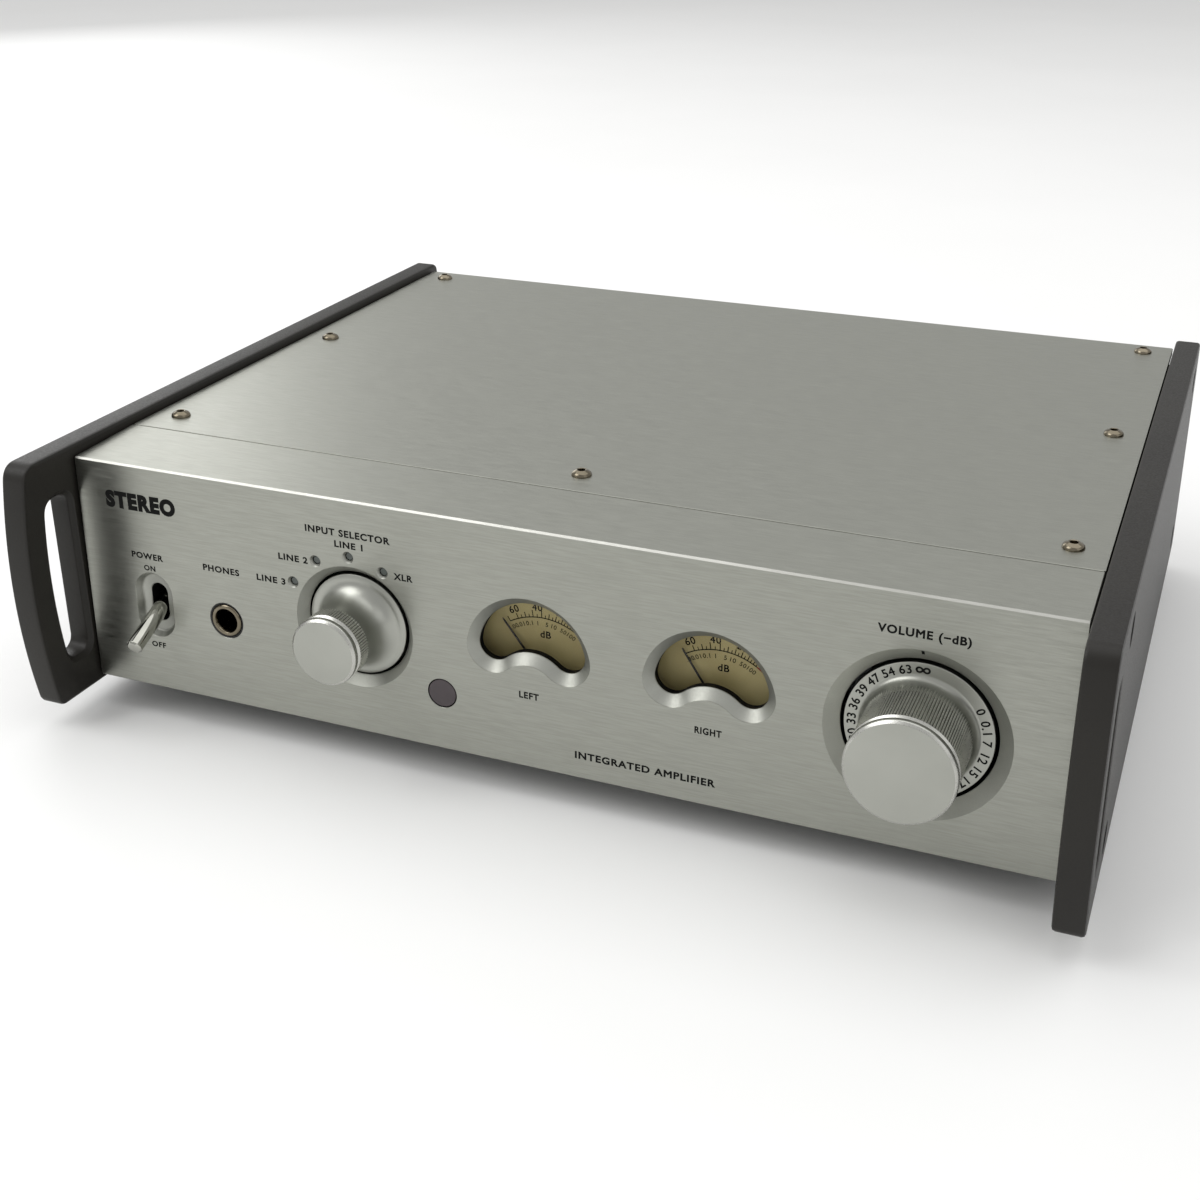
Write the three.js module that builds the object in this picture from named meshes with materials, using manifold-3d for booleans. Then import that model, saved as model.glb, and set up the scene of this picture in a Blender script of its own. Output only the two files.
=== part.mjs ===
// Stereo integrated amplifier: a flat aluminium casing between two dark side panels that end in handles.
// Millimetres, +Z up. In this code y runs from the front panel's face to the back, and z from the floor up.
// The exported group moves that origin to the middle of the whole object's footprint.
import * as THREE from 'three';
import { mergeVertices } from 'three/addons/utils/BufferGeometryUtils.js';
import Module from 'manifold-3d';

const wasm = await Module();
wasm.setup();

// Driving dimensions of the whole object.
const WIDTH = 290;
const HEIGHT = 81.2;
const DEPTH = 264;
const HANDLE_REACH = 22.3; // how far the handles stand in front of the front panel
const FOOT_LIFT = 7.6; // from the floor to the side panels
const SIDE_THICKNESS = 7.6;
const SIDE_BACK = 220.7;
const GAP = 0.3; // between pieces that touch
const SIDES = { tiny: 8, small: 12, medium: 16, large: 20, wide: 28 }; // flats on round pieces, by their size

// Casing.
const INNER = WIDTH / 2 - SIDE_THICKNESS; // half the width between the side panels
const BASE = FOOT_LIFT + 2.3; // underside of the chassis and the front panel
const COVER_TOP = HEIGHT - 2.5;
const COVER_THICKNESS = 2;
const FRONT = { halfWidth: INNER - 0.6, thickness: 6, top: COVER_TOP - 0.7, band: 26.6, bandThickness: 3.2 };
const LEDGE = { back: 44, thickness: 1.8 }; // the front panel's step that carries the cover's front edge
const TRAY = { halfWidth: 135.6, wall: 1.2, front: 6.4, back: 214.2, flange: 13, flangeFront: 46 };
const REAR = { front: 214.6, thickness: 1.6 };
const COVER = { halfWidth: INNER - 0.6, front: FRONT.band + GAP, back: 216.7 };

// Controls on the front panel: every dial and meter is centred on one line.
const AXIS_HEIGHT = 41.4;
const SELECTOR = { x: -50.2, rim: 17.7, hole: 15.2, bevel: 2.7 };
const VOLUME = { x: 100.8, rim: 22.6, hole: 19, bevel: 2.8 };
const METER_X = [0.7, 49.3];
const METER = { radius: 17.4, lobe: 7, lobeX: 10.25, notch: 8.5, bevel: 2.4 };
const NEEDLE = { pivotDrop: 7.7, length: 17.9, restTilt: [37.6, 33.4] }; // degrees left of upright
const TOGGLE = {
  x: -114.7, z: 36.3, halfWidth: 6, halfHeight: 9.85, depth: 2.6, pivot: 6.8, tip: -11.4, tilt: 24.3,
};
const JACK = { x: -91, z: 35.8, collar: 5.25, ring: 4.75, bore: 3.25, length: 28 };
const REMOTE = { x: -24.4, z: 26.8, radius: 4 };
const LAMPS = { x: -50.8, z: 41.5, radius: 20.2, angles: [-60, -30, 0, 30], hole: 1.6, lens: 1.05 };
const SHAFT = 3;
const BOARD_Y = 24; // front face of the circuit board behind the front panel

// Cover screws: three along the front, then two pairs.
const SCREWS = [[-128, 38], [0, 38], [128, 38], [-128, 123.5], [128, 123.5], [-128, 208.5], [128, 208.5]];
const SCREW = { shank: 1.4, head: 2.8, headHeight: 1.7, length: 7 };
const SIDE_SCREWS = [[12, 72], [12, 17], [205, 72], [205, 17]]; // [y, z] on each side panel
const SIDE_SCREW = { shank: 2, head: 3.9, recess: 4 };
const FEET = [[-112, 28], [112, 28], [-112, 196], [112, 196]];

// Sockets on the rear panel.
const POSTS = { xs: [-52, -33, -6, 13], z: 44, stud: 2.4, capRadius: 7.2, collar: 7.6 };
const XLR_XS = [82, 112];
const LINE_XS = [34, 48, 62];
const LINE_ZS = [35, 52];
const SOCKET_Z = 44;
const INLET = { x: -108, z: 44, halfWidth: 12.2, halfHeight: 8.2, recess: 15, flange: [25, 13.5] };

// One material for each finish.
function finish(color, roughness, metalness) {
  return new THREE.MeshStandardMaterial({ color, roughness, metalness });
}

const FINISH = {
  brushed: finish(0xb9bab2, 0.38, 1),
  turned: finish(0xc4c4be, 0.3, 1),
  graphite: finish(0x3a3835, 0.55, 0.2),
  steel: finish(0x8b8d8e, 0.45, 1),
  chrome: finish(0xd0d0cc, 0.12, 1),
  nickel: finish(0xa89a86, 0.25, 1),
  plastic: finish(0x151516, 0.5, 0),
  board: finish(0x1f5136, 0.6, 0),
  dial: finish(0x8a7d55, 0.7, 0),
  needle: finish(0x17130f, 0.6, 0),
  clear: finish(0xf2f4f4, 0.05, 0),
  lens: finish(0x3c3238, 0.15, 0),
  winding: finish(0xd8b02c, 0.4, 0),
};

// ---- Geometry helpers ----

function solid(geometry) {
  const bare = geometry.clone();
  bare.deleteAttribute('normal');
  bare.deleteAttribute('uv');
  const merged = mergeVertices(bare, 1e-4);
  return new wasm.Manifold(new wasm.Mesh({
    numProp: 3,
    vertProperties: merged.attributes.position.array,
    triVerts: new Uint32Array(merged.index.array),
  }));
}

function geometryOf(manifold) {
  const mesh = manifold.getMesh();
  const geometry = new THREE.BufferGeometry();
  geometry.setAttribute('position', new THREE.BufferAttribute(new Float32Array(mesh.vertProperties), 3));
  geometry.setIndex(new THREE.BufferAttribute(new Uint32Array(mesh.triVerts), 1));
  return geometry;
}

function joined(first, ...others) {
  return geometryOf(others.reduce((sum, other) => sum.add(solid(other)), solid(first)));
}

function cut(first, ...others) {
  return geometryOf(others.reduce((rest, other) => rest.subtract(solid(other)), solid(first)));
}

// A box between two values on each axis.
function block([x0, x1], [y0, y1], [z0, z1]) {
  return new THREE.BoxGeometry(x1 - x0, y1 - y0, z1 - z0)
    .translate((x0 + x1) / 2, (y0 + y1) / 2, (z0 + z1) / 2);
}

// A round bar along y.
function rod(radius, [y0, y1], x = 0, z = 0, sides = SIDES.medium) {
  return new THREE.CylinderGeometry(radius, radius, y1 - y0, sides).translate(x, (y0 + y1) / 2, z);
}

// A round bar along x.
function crossRod(radius, [x0, x1], y = 0, z = 0, sides = SIDES.small) {
  return new THREE.CylinderGeometry(radius, radius, x1 - x0, sides)
    .rotateZ(Math.PI / 2)
    .translate((x0 + x1) / 2, y, z);
}

// A round bar along z.
function post(radius, [z0, z1], x = 0, y = 0, sides = SIDES.medium) {
  return new THREE.CylinderGeometry(radius, radius, z1 - z0, sides)
    .rotateX(Math.PI / 2)
    .translate(x, y, (z0 + z1) / 2);
}

// A shape turned about y from [radius, y] points that run from the front of the axis to the back.
function turned(profile, sides = SIDES.medium) {
  return new THREE.LatheGeometry([...profile].reverse().map(([r, y]) => new THREE.Vector2(r, -y)), sides)
    .rotateX(Math.PI);
}

// A shape turned about z from [radius, z] points that run from the bottom of the axis to the top.
function turnedUp(profile, sides = SIDES.medium) {
  const points = profile.map(([r, z]) => new THREE.Vector2(r, z));
  return new THREE.LatheGeometry(points, sides).rotateX(Math.PI / 2);
}

// An outline extruded along an axis: its own two axes become (y, z), (x, z) or (x, y).
function extruded(shape, axis, [from, to], curveSegments = 8) {
  const geometry = new THREE.ExtrudeGeometry(shape, { depth: to - from, bevelEnabled: false, curveSegments });
  if (axis === 'z') return geometry.translate(0, 0, from);
  if (axis === 'y') return geometry.rotateX(Math.PI / 2).translate(0, to, 0);
  return geometry.rotateY(Math.PI / 2).rotateX(Math.PI / 2).translate(from, 0, 0);
}

// A closed solid through outlines of equal point counts, each at its own y.
function lofted(outlines, ys) {
  const count = outlines[0].length;
  const positions = outlines.flatMap((outline, k) => outline.flatMap((p) => [p.x, ys[k], p.y]));
  const faces = THREE.ShapeUtils.triangulateShape(outlines[0], []);
  const last = (outlines.length - 1) * count;
  const index = faces.flatMap(([a, b, c]) => [a, b, c, last + a, last + c, last + b]);
  for (let k = 0; k < outlines.length - 1; k += 1) {
    for (let i = 0; i < count; i += 1) {
      const a = k * count + i;
      const b = k * count + ((i + 1) % count);
      index.push(a, a + count, b + count, a, b + count, b);
    }
  }
  const geometry = new THREE.BufferGeometry();
  geometry.setAttribute('position', new THREE.Float32BufferAttribute(positions, 3));
  geometry.setIndex(index);
  return geometry;
}

// ---- Outlines ----

function polygon(points) {
  return new THREE.Shape(points.map(([x, y]) => new THREE.Vector2(x, y)));
}

function roundedRectangle(halfWidth, halfHeight, radius, x = 0, y = 0) {
  const shape = new THREE.Shape();
  const [left, right, low, high] = [x - halfWidth, x + halfWidth, y - halfHeight, y + halfHeight];
  shape.moveTo(left + radius, low);
  shape.lineTo(right - radius, low);
  shape.absarc(right - radius, low + radius, radius, -Math.PI / 2, 0);
  shape.absarc(right - radius, high - radius, radius, 0, Math.PI / 2);
  shape.absarc(left + radius, high - radius, radius, Math.PI / 2, Math.PI);
  shape.absarc(left + radius, low + radius, radius, Math.PI, 1.5 * Math.PI);
  return shape;
}

// The meter window: a large circle whose lower part is two lobes round a notch. The inset moves every arc.
function meterOutline(x, inset) {
  const { radius, lobe, lobeX, notch } = METER;
  const lobeZ = Math.sqrt((radius - lobe) ** 2 - lobeX ** 2);
  const notchZ = lobeZ - Math.sqrt((lobe + notch) ** 2 - lobeX ** 2);
  const shoulder = Math.atan2(lobeZ, lobeX);
  const valley = Math.atan2(lobeZ - notchZ, lobeX);
  const shape = new THREE.Shape();
  shape.absarc(x, AXIS_HEIGHT, radius - inset, shoulder, Math.PI - shoulder);
  shape.absarc(x - lobeX, AXIS_HEIGHT + lobeZ, lobe - inset, Math.PI - shoulder, 2 * Math.PI - valley);
  shape.absarc(x, AXIS_HEIGHT + notchZ, notch + inset, Math.PI - valley, valley, true);
  shape.absarc(x + lobeX, AXIS_HEIGHT + lobeZ, lobe - inset, Math.PI + valley, 2 * Math.PI + shoulder);
  return openPoints(shape, 6);
}

// A shape's points without the repeated one where it closes.
function openPoints(shape, divisions) {
  const points = shape.getPoints(divisions);
  const kept = points.filter((p, i) => p.distanceTo(points[(i + 1) % points.length]) > 1e-3);
  return kept;
}

// The side panel's outline in (y, z): a bowed front, rounded corners, and the handle slot behind the bow.
function sidePanelShape() {
  const bow = 172; // radius of the bowed front edge
  const bowZ = 49.3;
  const bowY = bow - HANDLE_REACH;
  const bar = 9; // thickness of the handle's bar
  const yAt = (z, radius) => bowY - Math.sqrt(radius ** 2 - (z - bowZ) ** 2);
  const [low, high] = [FOOT_LIFT, HEIGHT];
  const shape = new THREE.Shape();
  const corner = { top: 4.5, bottom: 2.5, back: 4 };
  const frontLow = low + corner.bottom;
  const frontHigh = high - corner.top;
  shape.moveTo(yAt(frontLow, bow), frontLow);
  shape.quadraticCurveTo(yAt(low, bow), low, yAt(low, bow) + corner.bottom, low);
  shape.lineTo(SIDE_BACK - corner.back, low);
  shape.quadraticCurveTo(SIDE_BACK, low, SIDE_BACK, low + corner.back);
  shape.lineTo(SIDE_BACK, high - corner.back);
  shape.quadraticCurveTo(SIDE_BACK, high, SIDE_BACK - corner.back, high);
  shape.lineTo(yAt(high, bow) + corner.top, high);
  shape.quadraticCurveTo(yAt(high, bow), high, yAt(frontHigh, bow), frontHigh);
  const sweep = (z, radius) => Math.PI - Math.asin((z - bowZ) / radius);
  shape.absarc(bowY, bowZ, bow, sweep(frontHigh, bow), sweep(frontLow, bow));

  const inner = bow - bar;
  const slot = { low: 19.2, high: 68.4, backLow: -1.9, backHigh: -2.9, round: 4 };
  const [slotLow, slotHigh] = [slot.low + slot.round, slot.high - slot.round];
  const hole = new THREE.Path();
  hole.moveTo(yAt(slotLow, inner), slotLow);
  hole.quadraticCurveTo(yAt(slot.low, inner), slot.low, yAt(slot.low, inner) + slot.round, slot.low);
  hole.lineTo(slot.backLow - slot.round, slot.low);
  hole.quadraticCurveTo(slot.backLow, slot.low, slot.backLow, slotLow);
  hole.lineTo(slot.backHigh, slotHigh);
  hole.quadraticCurveTo(slot.backHigh, slot.high, slot.backHigh - slot.round, slot.high);
  hole.lineTo(yAt(slot.high, inner) + slot.round, slot.high);
  hole.quadraticCurveTo(yAt(slot.high, inner), slot.high, yAt(slotHigh, inner), slotHigh);
  hole.absarc(bowY, bowZ, inner, sweep(slotHigh, inner), sweep(slotLow, inner));
  shape.holes.push(hole);
  return shape;
}

// ---- Casing ----

// Clears a cover screw through the cover and what is under it.
function screwHole([x, y]) {
  return post(SCREW.shank + 0.25, [COVER_TOP - 15, COVER_TOP + 1], x, y, SIDES.tiny);
}

// A round hole whose front edge is a cone, as a cutter.
function bevelledHole({ x, rim, hole, bevel }) {
  const slope = (rim - hole) / bevel;
  const end = FRONT.thickness + 1;
  const profile = [[0, -1], [rim + slope, -1], [hole, bevel], [hole, end], [0, end]];
  return turned(profile, SIDES.wide).translate(x, 0, AXIS_HEIGHT);
}

function meterHole(x) {
  const outlines = [-1, METER.bevel, METER.bevel].map((inset) => meterOutline(x, inset));
  return lofted(outlines, [-1, METER.bevel, FRONT.thickness + 1]);
}

function toggleHole() {
  const { x, z, halfWidth, halfHeight, depth } = TOGGLE;
  const outline = (inset) => openPoints(
    roundedRectangle(halfWidth - inset, halfHeight - inset, halfWidth - inset - 0.01, x, z), 4);
  const recess = lofted([outline(-0.4), outline(1)], [-1, depth]);
  const slot = extruded(roundedRectangle(2.7, 5.7, 2.6, x, z), 'y', [depth - 1, FRONT.thickness + 1], 4);
  return joined(recess, slot);
}

function lampPlaces() {
  return LAMPS.angles.map((degrees) => {
    const a = THREE.MathUtils.degToRad(degrees);
    return [LAMPS.x + LAMPS.radius * Math.sin(a), LAMPS.z + LAMPS.radius * Math.cos(a)];
  });
}

function lampHole([x, z]) {
  const { hole, lens } = LAMPS;
  const wall = lens + 0.15;
  const end = FRONT.thickness + 1;
  const profile = [[0, -1], [hole + 0.4, -1], [wall, 1.3], [wall, end], [0, end]];
  return turned(profile, SIDES.tiny).translate(x, 0, z);
}

// An angle profile: the thick front plate, the gently sloping band on top, and the ledge under the cover.
function frontPanel() {
  const { halfWidth, thickness, top, band, bandThickness } = FRONT;
  const chamfer = 0.8;
  const ledgeTop = COVER_TOP - COVER_THICKNESS - GAP;
  const profile = polygon([
    [0, BASE], [thickness, BASE], [thickness, top - bandThickness], [band - 2, ledgeTop - LEDGE.thickness],
    [LEDGE.back, ledgeTop - LEDGE.thickness], [LEDGE.back, ledgeTop], [band, ledgeTop],
    [band, COVER_TOP], [chamfer, top + 0.02], [0, top - chamfer],
  ]);
  const plate = extruded(profile, 'x', [-halfWidth, halfWidth]);
  return cut(
    plate,
    bevelledHole(SELECTOR),
    bevelledHole(VOLUME),
    ...METER_X.map(meterHole),
    toggleHole(),
    ...lampPlaces().map(lampHole),
    rod(JACK.collar + 0.1, [-1, thickness + 1], JACK.x, JACK.z, SIDES.large),
    rod(REMOTE.radius + 0.12, [-1, thickness + 1], REMOTE.x, REMOTE.z),
    ...SCREWS.slice(0, 3).map(screwHole),
  );
}

function topCover() {
  const { halfWidth, front, back } = COVER;
  const sheet = block([-halfWidth, halfWidth], [front, back], [COVER_TOP - COVER_THICKNESS, COVER_TOP]);
  return cut(sheet, ...SCREWS.map(screwHole));
}

// Steel channel: floor, side walls and inward flanges that take the cover's rear screws.
function bottomChassis() {
  const { halfWidth, wall, front, back, flange, flangeFront } = TRAY;
  const inside = halfWidth - wall;
  const top = COVER_TOP - COVER_THICKNESS - GAP;
  const half = [[halfWidth, BASE], [halfWidth, top], [halfWidth - flange, top],
    [halfWidth - flange, top - wall], [inside, top - wall], [inside, BASE + wall]];
  const outline = polygon([...half, ...half.map(([x, z]) => [-x, z]).reverse()]);
  const channel = extruded(outline, 'y', [front, back]);
  const frontClearance = block([-INNER, INNER], [0, flangeFront], [FRONT.top - 12, HEIGHT]);
  const vents = [];
  for (let i = 0; i < 9; i += 1) {
    const x = (i - 4) * 9;
    for (const y of [62, 150]) {
      vents.push(block([x - 1.5, x + 1.5], [y - 15, y + 15], [BASE - 1, BASE + wall + 1]));
    }
  }
  const frontLip = block([-inside + 1, inside - 1], [front, front + wall], [BASE + wall / 2, BASE + 9]);
  return cut(joined(channel, frontLip), frontClearance, ...vents, ...SCREWS.slice(3).map(screwHole));
}

function rearPanel() {
  const { front, thickness } = REAR;
  const back = front + thickness;
  const top = COVER_TOP - COVER_THICKNESS - GAP;
  const through = [front - 1, back + 1];
  const plate = block([-TRAY.halfWidth, TRAY.halfWidth], [front, back], [BASE, top]);
  const posts = POSTS.xs.map((x) => rod(4.3, through, x, POSTS.z, SIDES.small));
  const jacks = LINE_XS.flatMap((x) => LINE_ZS.map((z) => rod(5.2, through, x, z, SIDES.small)));
  const xlrs = XLR_XS.map((x) => rod(11.8, through, x, SOCKET_Z, SIDES.large));
  const latches = XLR_XS.map((x) => block([x - 3.3, x + 3.3], through, [SOCKET_Z + 10, SOCKET_Z + 13.8]));
  const inlet = block([INLET.x - INLET.halfWidth - 1.6, INLET.x + INLET.halfWidth + 1.6], through,
    [INLET.z - INLET.halfHeight - 1.6, INLET.z + INLET.halfHeight + 1.6]);
  return cut(plate, ...posts, ...jacks, ...xlrs, ...latches, inlet);
}

// A thick plate with the handle slot, recesses for its screws, and bosses that hold it off the chassis wall.
function sidePanel(side) {
  const seat = WIDTH / 2 - SIDE_SCREW.recess;
  const plate = extruded(sidePanelShape(), 'x', [INNER, WIDTH / 2], 5);
  const boss = INNER - TRAY.halfWidth - GAP;
  const bosses = SIDE_SCREWS.slice(1).map(([y, z]) => crossRod(4.4, [INNER - boss, INNER + 1], y, z));
  const recesses = SIDE_SCREWS.map(([y, z]) => crossRod(SIDE_SCREW.head + 0.3, [seat, WIDTH], y, z));
  const through = [INNER - 3, WIDTH];
  const holes = SIDE_SCREWS.map(([y, z]) => crossRod(SIDE_SCREW.shank + 0.3, through, y, z, SIDES.tiny));
  const panel = cut(joined(plate, ...bosses), ...recesses, ...holes);
  return side > 0 ? panel : geometryOf(solid(panel).mirror([1, 0, 0]));
}

// A button-head screw with a hexagonal socket.
function coverScrew() {
  const { shank, head, headHeight, length } = SCREW;
  const seat = COVER_TOP + 0.05;
  const body = turnedUp([
    [0, seat - length], [shank, seat - length], [shank, seat], [head, seat], [head, seat + 0.35],
    [head * 0.82, seat + headHeight * 0.75], [head * 0.5, seat + headHeight], [0, seat + headHeight],
  ], SIDES.small);
  return cut(body, post(1.15, [seat + 0.5, seat + 3], 0, 0, 6));
}

function foot() {
  const top = BASE - GAP;
  return turnedUp([[0, 0], [7.2, 0], [7.9, 0.8], [8.6, 5.5], [10, 6.6], [10, top], [0, top]]);
}

// ---- Rotary controls ----

// A shaft with a flat along its front end.
function keyedShaft([y0, y1], flatEnd) {
  const flat = block([-SHAFT, SHAFT], [y0 - 1, flatEnd], [SHAFT - 0.9, SHAFT + 1]);
  return cut(rod(SHAFT, [y0, y1]), flat);
}

function keyedBore([y0, y1]) {
  const bore = SHAFT + 0.3;
  const key = block([-bore, bore], [y0 - 1, y1 + 1], [SHAFT - 0.6, bore + 1]);
  return cut(rod(bore, [y0, y1]), key);
}

// A quarter ellipse from the flat rim in to the neck, as [radius, y] points.
function flare(rim, rimY, neck, neckY, steps) {
  const points = [];
  for (let i = 0; i <= steps; i += 1) {
    const a = (i / steps) * (Math.PI / 2);
    points.push([rim - (rim - neck) * Math.sin(a), neckY + (rimY - neckY) * Math.cos(a)]);
  }
  return points;
}

// A knob's front disc with its chamfered edge.
function knobNose(radius, face) {
  return [[0, face], [radius - 0.85, face], [radius, face + 0.9]];
}

function volumeKnob() {
  const profile = [
    ...knobNose(13.45, -18.2),
    ...flare(14.9, 2.4, 13.3, -1.5, 4).reverse(),
    [18.1, 2.6], [18.1, 5.2], [0, 5.2],
  ];
  return cut(turned(profile, SIDES.wide), keyedBore([-12, 6]));
}

function selectorKnob() {
  const profile = [
    ...knobNose(9.5, -16.2),
    [9.35, -8.6], [8.2, -8.3],
    ...flare(13.6, 2.4, 8.2, -5.5, 4).reverse(),
    [14.5, 2.6], [14.5, 5.2], [0, 5.2],
  ];
  return cut(turned(profile, SIDES.wide), keyedBore([-10, 6]));
}

// A shaft's sleeve on a square body, bored for the shaft.
function shaftHousing(half, [sleeveFront, bodyFront, bodyBack]) {
  const sleeve = rod(4.6, [sleeveFront, bodyFront + 1]);
  const body = block([-half, half], [bodyFront, bodyBack], [-half, half]);
  return cut(joined(sleeve, body), rod(SHAFT + 0.25, [sleeveFront - 1, bodyFront + 3]));
}

// Motor and gearbox that turn the volume control for the remote control.
function volumeMotor() {
  const gearbox = block([-34, 14], [44.3, 52], [-13, 13]);
  return joined(gearbox, rod(9, [20, 45], -23, 0, SIDES.large));
}

// ---- Switch, headphone socket and lamps ----

// The lever's own axis is y through its pivot; it is tilted when it is placed.
function powerLever() {
  const tip = (TOGGLE.tip - TOGGLE.pivot) / Math.cos(THREE.MathUtils.degToRad(TOGGLE.tilt));
  return turned([
    [0, tip], [1.8, tip], [2.25, tip + 0.5], [2.3, tip + 1.2], [2.3, -3.6], [2.1, -2.2],
    [2.4, -1.2], [2.4, 1.2], [1.2, 2.8], [0, 2.8],
  ]);
}

function powerSwitch() {
  const front = FRONT.thickness + GAP;
  const body = block([-6.5, 6.5], [front, front + 21], [-9, 9]);
  const chamber = block([-3, 3], [front - 1, TOGGLE.pivot + 3.6], [-4, 4]);
  return cut(body, chamber);
}

function phoneJack() {
  const { collar, ring, bore, length } = JACK;
  const tube = rod(collar, [0, 9], 0, 0, SIDES.large);
  const body = block([-7, 7], [FRONT.thickness + GAP, length + 4], [-7, 7]);
  return cut(joined(tube, body), rod(ring + 0.15, [-1, 10.2]), rod(bore + 0.05, [9, length]));
}

function phoneJackRing() {
  const { ring, bore } = JACK;
  const [front, back] = [-0.3, 9.8];
  return turned([[bore, back], [bore, front + 0.8], [bore + 0.5, front], [ring - 0.4, front],
    [ring, front + 0.4], [ring, back], [bore, back]]);
}

// Four prongs on one bar bring the lamps' light from the circuit board.
function lightGuide() {
  const places = lampPlaces();
  const prongs = places.map(([x, z]) => rod(LAMPS.lens, [1, 10], x, z, SIDES.tiny));
  const links = places.slice(1).map(([x, z], i) => {
    const [fromX, fromZ] = places[i];
    const length = Math.hypot(x - fromX, z - fromZ);
    return new THREE.BoxGeometry(length + 2, 2, 3)
      .rotateY(-Math.atan2(z - fromZ, x - fromX))
      .translate((x + fromX) / 2, 10, (z + fromZ) / 2);
  });
  return joined(prongs[0], ...prongs.slice(1), ...links);
}

// ---- Meters ----

const METER_BOX = { left: 19, low: -15, high: 20.5, window: [6.3, 7.3], dial: [9.6, 10.2], back: 21 };

function meterCase() {
  const { left, low, high, window, back } = METER_BOX;
  const wall = 1.2;
  const shell = block([-left, left], [window[1] + GAP, back], [low, high]);
  const cavity = block([-left + wall, left - wall], [0, back - wall], [low + wall, high - wall]);
  return cut(shell, cavity);
}

function meterWindow() {
  const { left, low, high, window } = METER_BOX;
  return block([-left, left], window, [low, high]);
}

// The scale plate, with a hole where the needle's spindle comes through.
function meterDial() {
  const { left, low, high, dial } = METER_BOX;
  const plate = block([-left + 1.6, left - 1.6], dial, [low + 1.6, high - 1.6]);
  return cut(plate, rod(2.2, [dial[0] - 1, dial[1] + 1], 0, -NEEDLE.pivotDrop, SIDES.small));
}

// A needle with its hub, spindle and moving coil, upright about its pivot.
function meterNeedle() {
  const arm = block([-0.22, 0.22], [8.4, 8.8], [0, NEEDLE.length]);
  const tail = block([-0.6, 0.6], [8.4, 8.8], [-4, 0]);
  const hub = rod(2.2, [8.2, 9], 0, 0, SIDES.small);
  const spindle = rod(0.8, [8.8, 13], 0, 0, SIDES.tiny);
  const coil = block([-3.5, 3.5], [12.5, 18], [-4, 4]);
  return joined(hub, arm, tail, spindle, coil);
}

// ---- Rear sockets ----

// A moulded strip with a collar and a threaded stud for each speaker wire.
function speakerTerminalBlock() {
  const { xs, z, stud, collar } = POSTS;
  const back = REAR.front + REAR.thickness;
  const strip = block([xs[0] - 11, xs[3] + 11], [back + 0.2, back + 1.6], [z - 12, z + 12]);
  const pieces = xs.flatMap((x) => [
    rod(collar, [back + 1, back + 3.6], x, z),
    rod(4, [REAR.front - 6, back + 1], x, z, SIDES.small),
    rod(stud, [back + 3, back + 20], x, z, SIDES.small),
  ]);
  const wireHoles = xs.map((x) => post(1.1, [z - 4, z + 4], x, back + 7.5, SIDES.tiny));
  return cut(joined(strip, ...pieces), ...wireHoles);
}

function speakerCap() {
  const back = REAR.front + REAR.thickness;
  const front = back + 5.4;
  const end = DEPTH - HANDLE_REACH;
  const { capRadius, stud } = POSTS;
  const body = turned([
    [0, front], [6.2, front], [capRadius, front + 0.8], [capRadius, end - 3.2],
    [6.3, end - 2.6], [6.3, end - 0.6], [5.7, end], [0, end],
  ]);
  const thread = rod(stud + 0.25, [front - 1, back + 20.6], 0, 0, SIDES.small);
  return cut(body, thread, rod(2.05, [back + 20, end + 1], 0, 0, SIDES.small));
}

// The loose metal washer that clamps the wire. It slides with the cap but doesn't turn.
function speakerWasher() {
  const back = REAR.front + REAR.thickness;
  return turned([[POSTS.stud + 0.25, back + 5.1], [POSTS.stud + 0.25, back + 3.9], [6.3, back + 3.9],
    [6.3, back + 5.1], [POSTS.stud + 0.25, back + 5.1]]);
}

// A three-pole locking socket: square flange, deep round shell and an insulating core with three holes.
function xlrSocket() {
  const back = REAR.front + REAR.thickness;
  const flange = extruded(roundedRectangle(13, 15.5, 2), 'y', [back + 0.2, back + 2.2], 4);
  const shell = rod(11.4, [back - 16, back + 2], 0, 0, SIDES.large);
  const well = rod(9.6, [back - 13, back + 4], 0, 0, SIDES.large);
  const core = rod(7, [back - 14, back + 1]);
  const pins = [210, 330, 90].map((degrees) => {
    const a = THREE.MathUtils.degToRad(degrees);
    return rod(1.3, [back - 10, back + 4], 4 * Math.cos(a), -1 + 4 * Math.sin(a), SIDES.tiny);
  });
  const latchSlot = block([-3.3, 3.3], [back - 1.9, back + 4], [10, 13.8]);
  return cut(joined(cut(joined(flange, shell), well), core), latchSlot, ...pins);
}

function xlrLatch() {
  const back = REAR.front + REAR.thickness;
  return block([-3, 3], [back + 0.3, back + 3.8], [10.3, 13.5]);
}

// Three pairs of phono sockets on one moulding: a collar round a hollow centre contact for each.
function lineSocketBlock() {
  const back = REAR.front + REAR.thickness;
  const [lowZ, highZ] = LINE_ZS;
  const depth = [REAR.front - 14, REAR.front - GAP];
  const bodyBlock = block([LINE_XS[0] - 7, LINE_XS[2] + 7], depth, [lowZ - 7, highZ + 7]);
  const collars = LINE_XS.flatMap((x) => LINE_ZS.flatMap((z) => [
    rod(5, [REAR.front - 1, back + 1.2], x, z, SIDES.small),
    rod(4.15, [back + 1, back + 9.5], x, z, SIDES.small),
  ]));
  const bore = [back - 4, back + 11];
  const bores = LINE_XS.flatMap((x) => LINE_ZS.map((z) => rod(1.65, bore, x, z, SIDES.tiny)));
  return cut(joined(bodyBlock, ...collars), ...bores);
}

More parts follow.
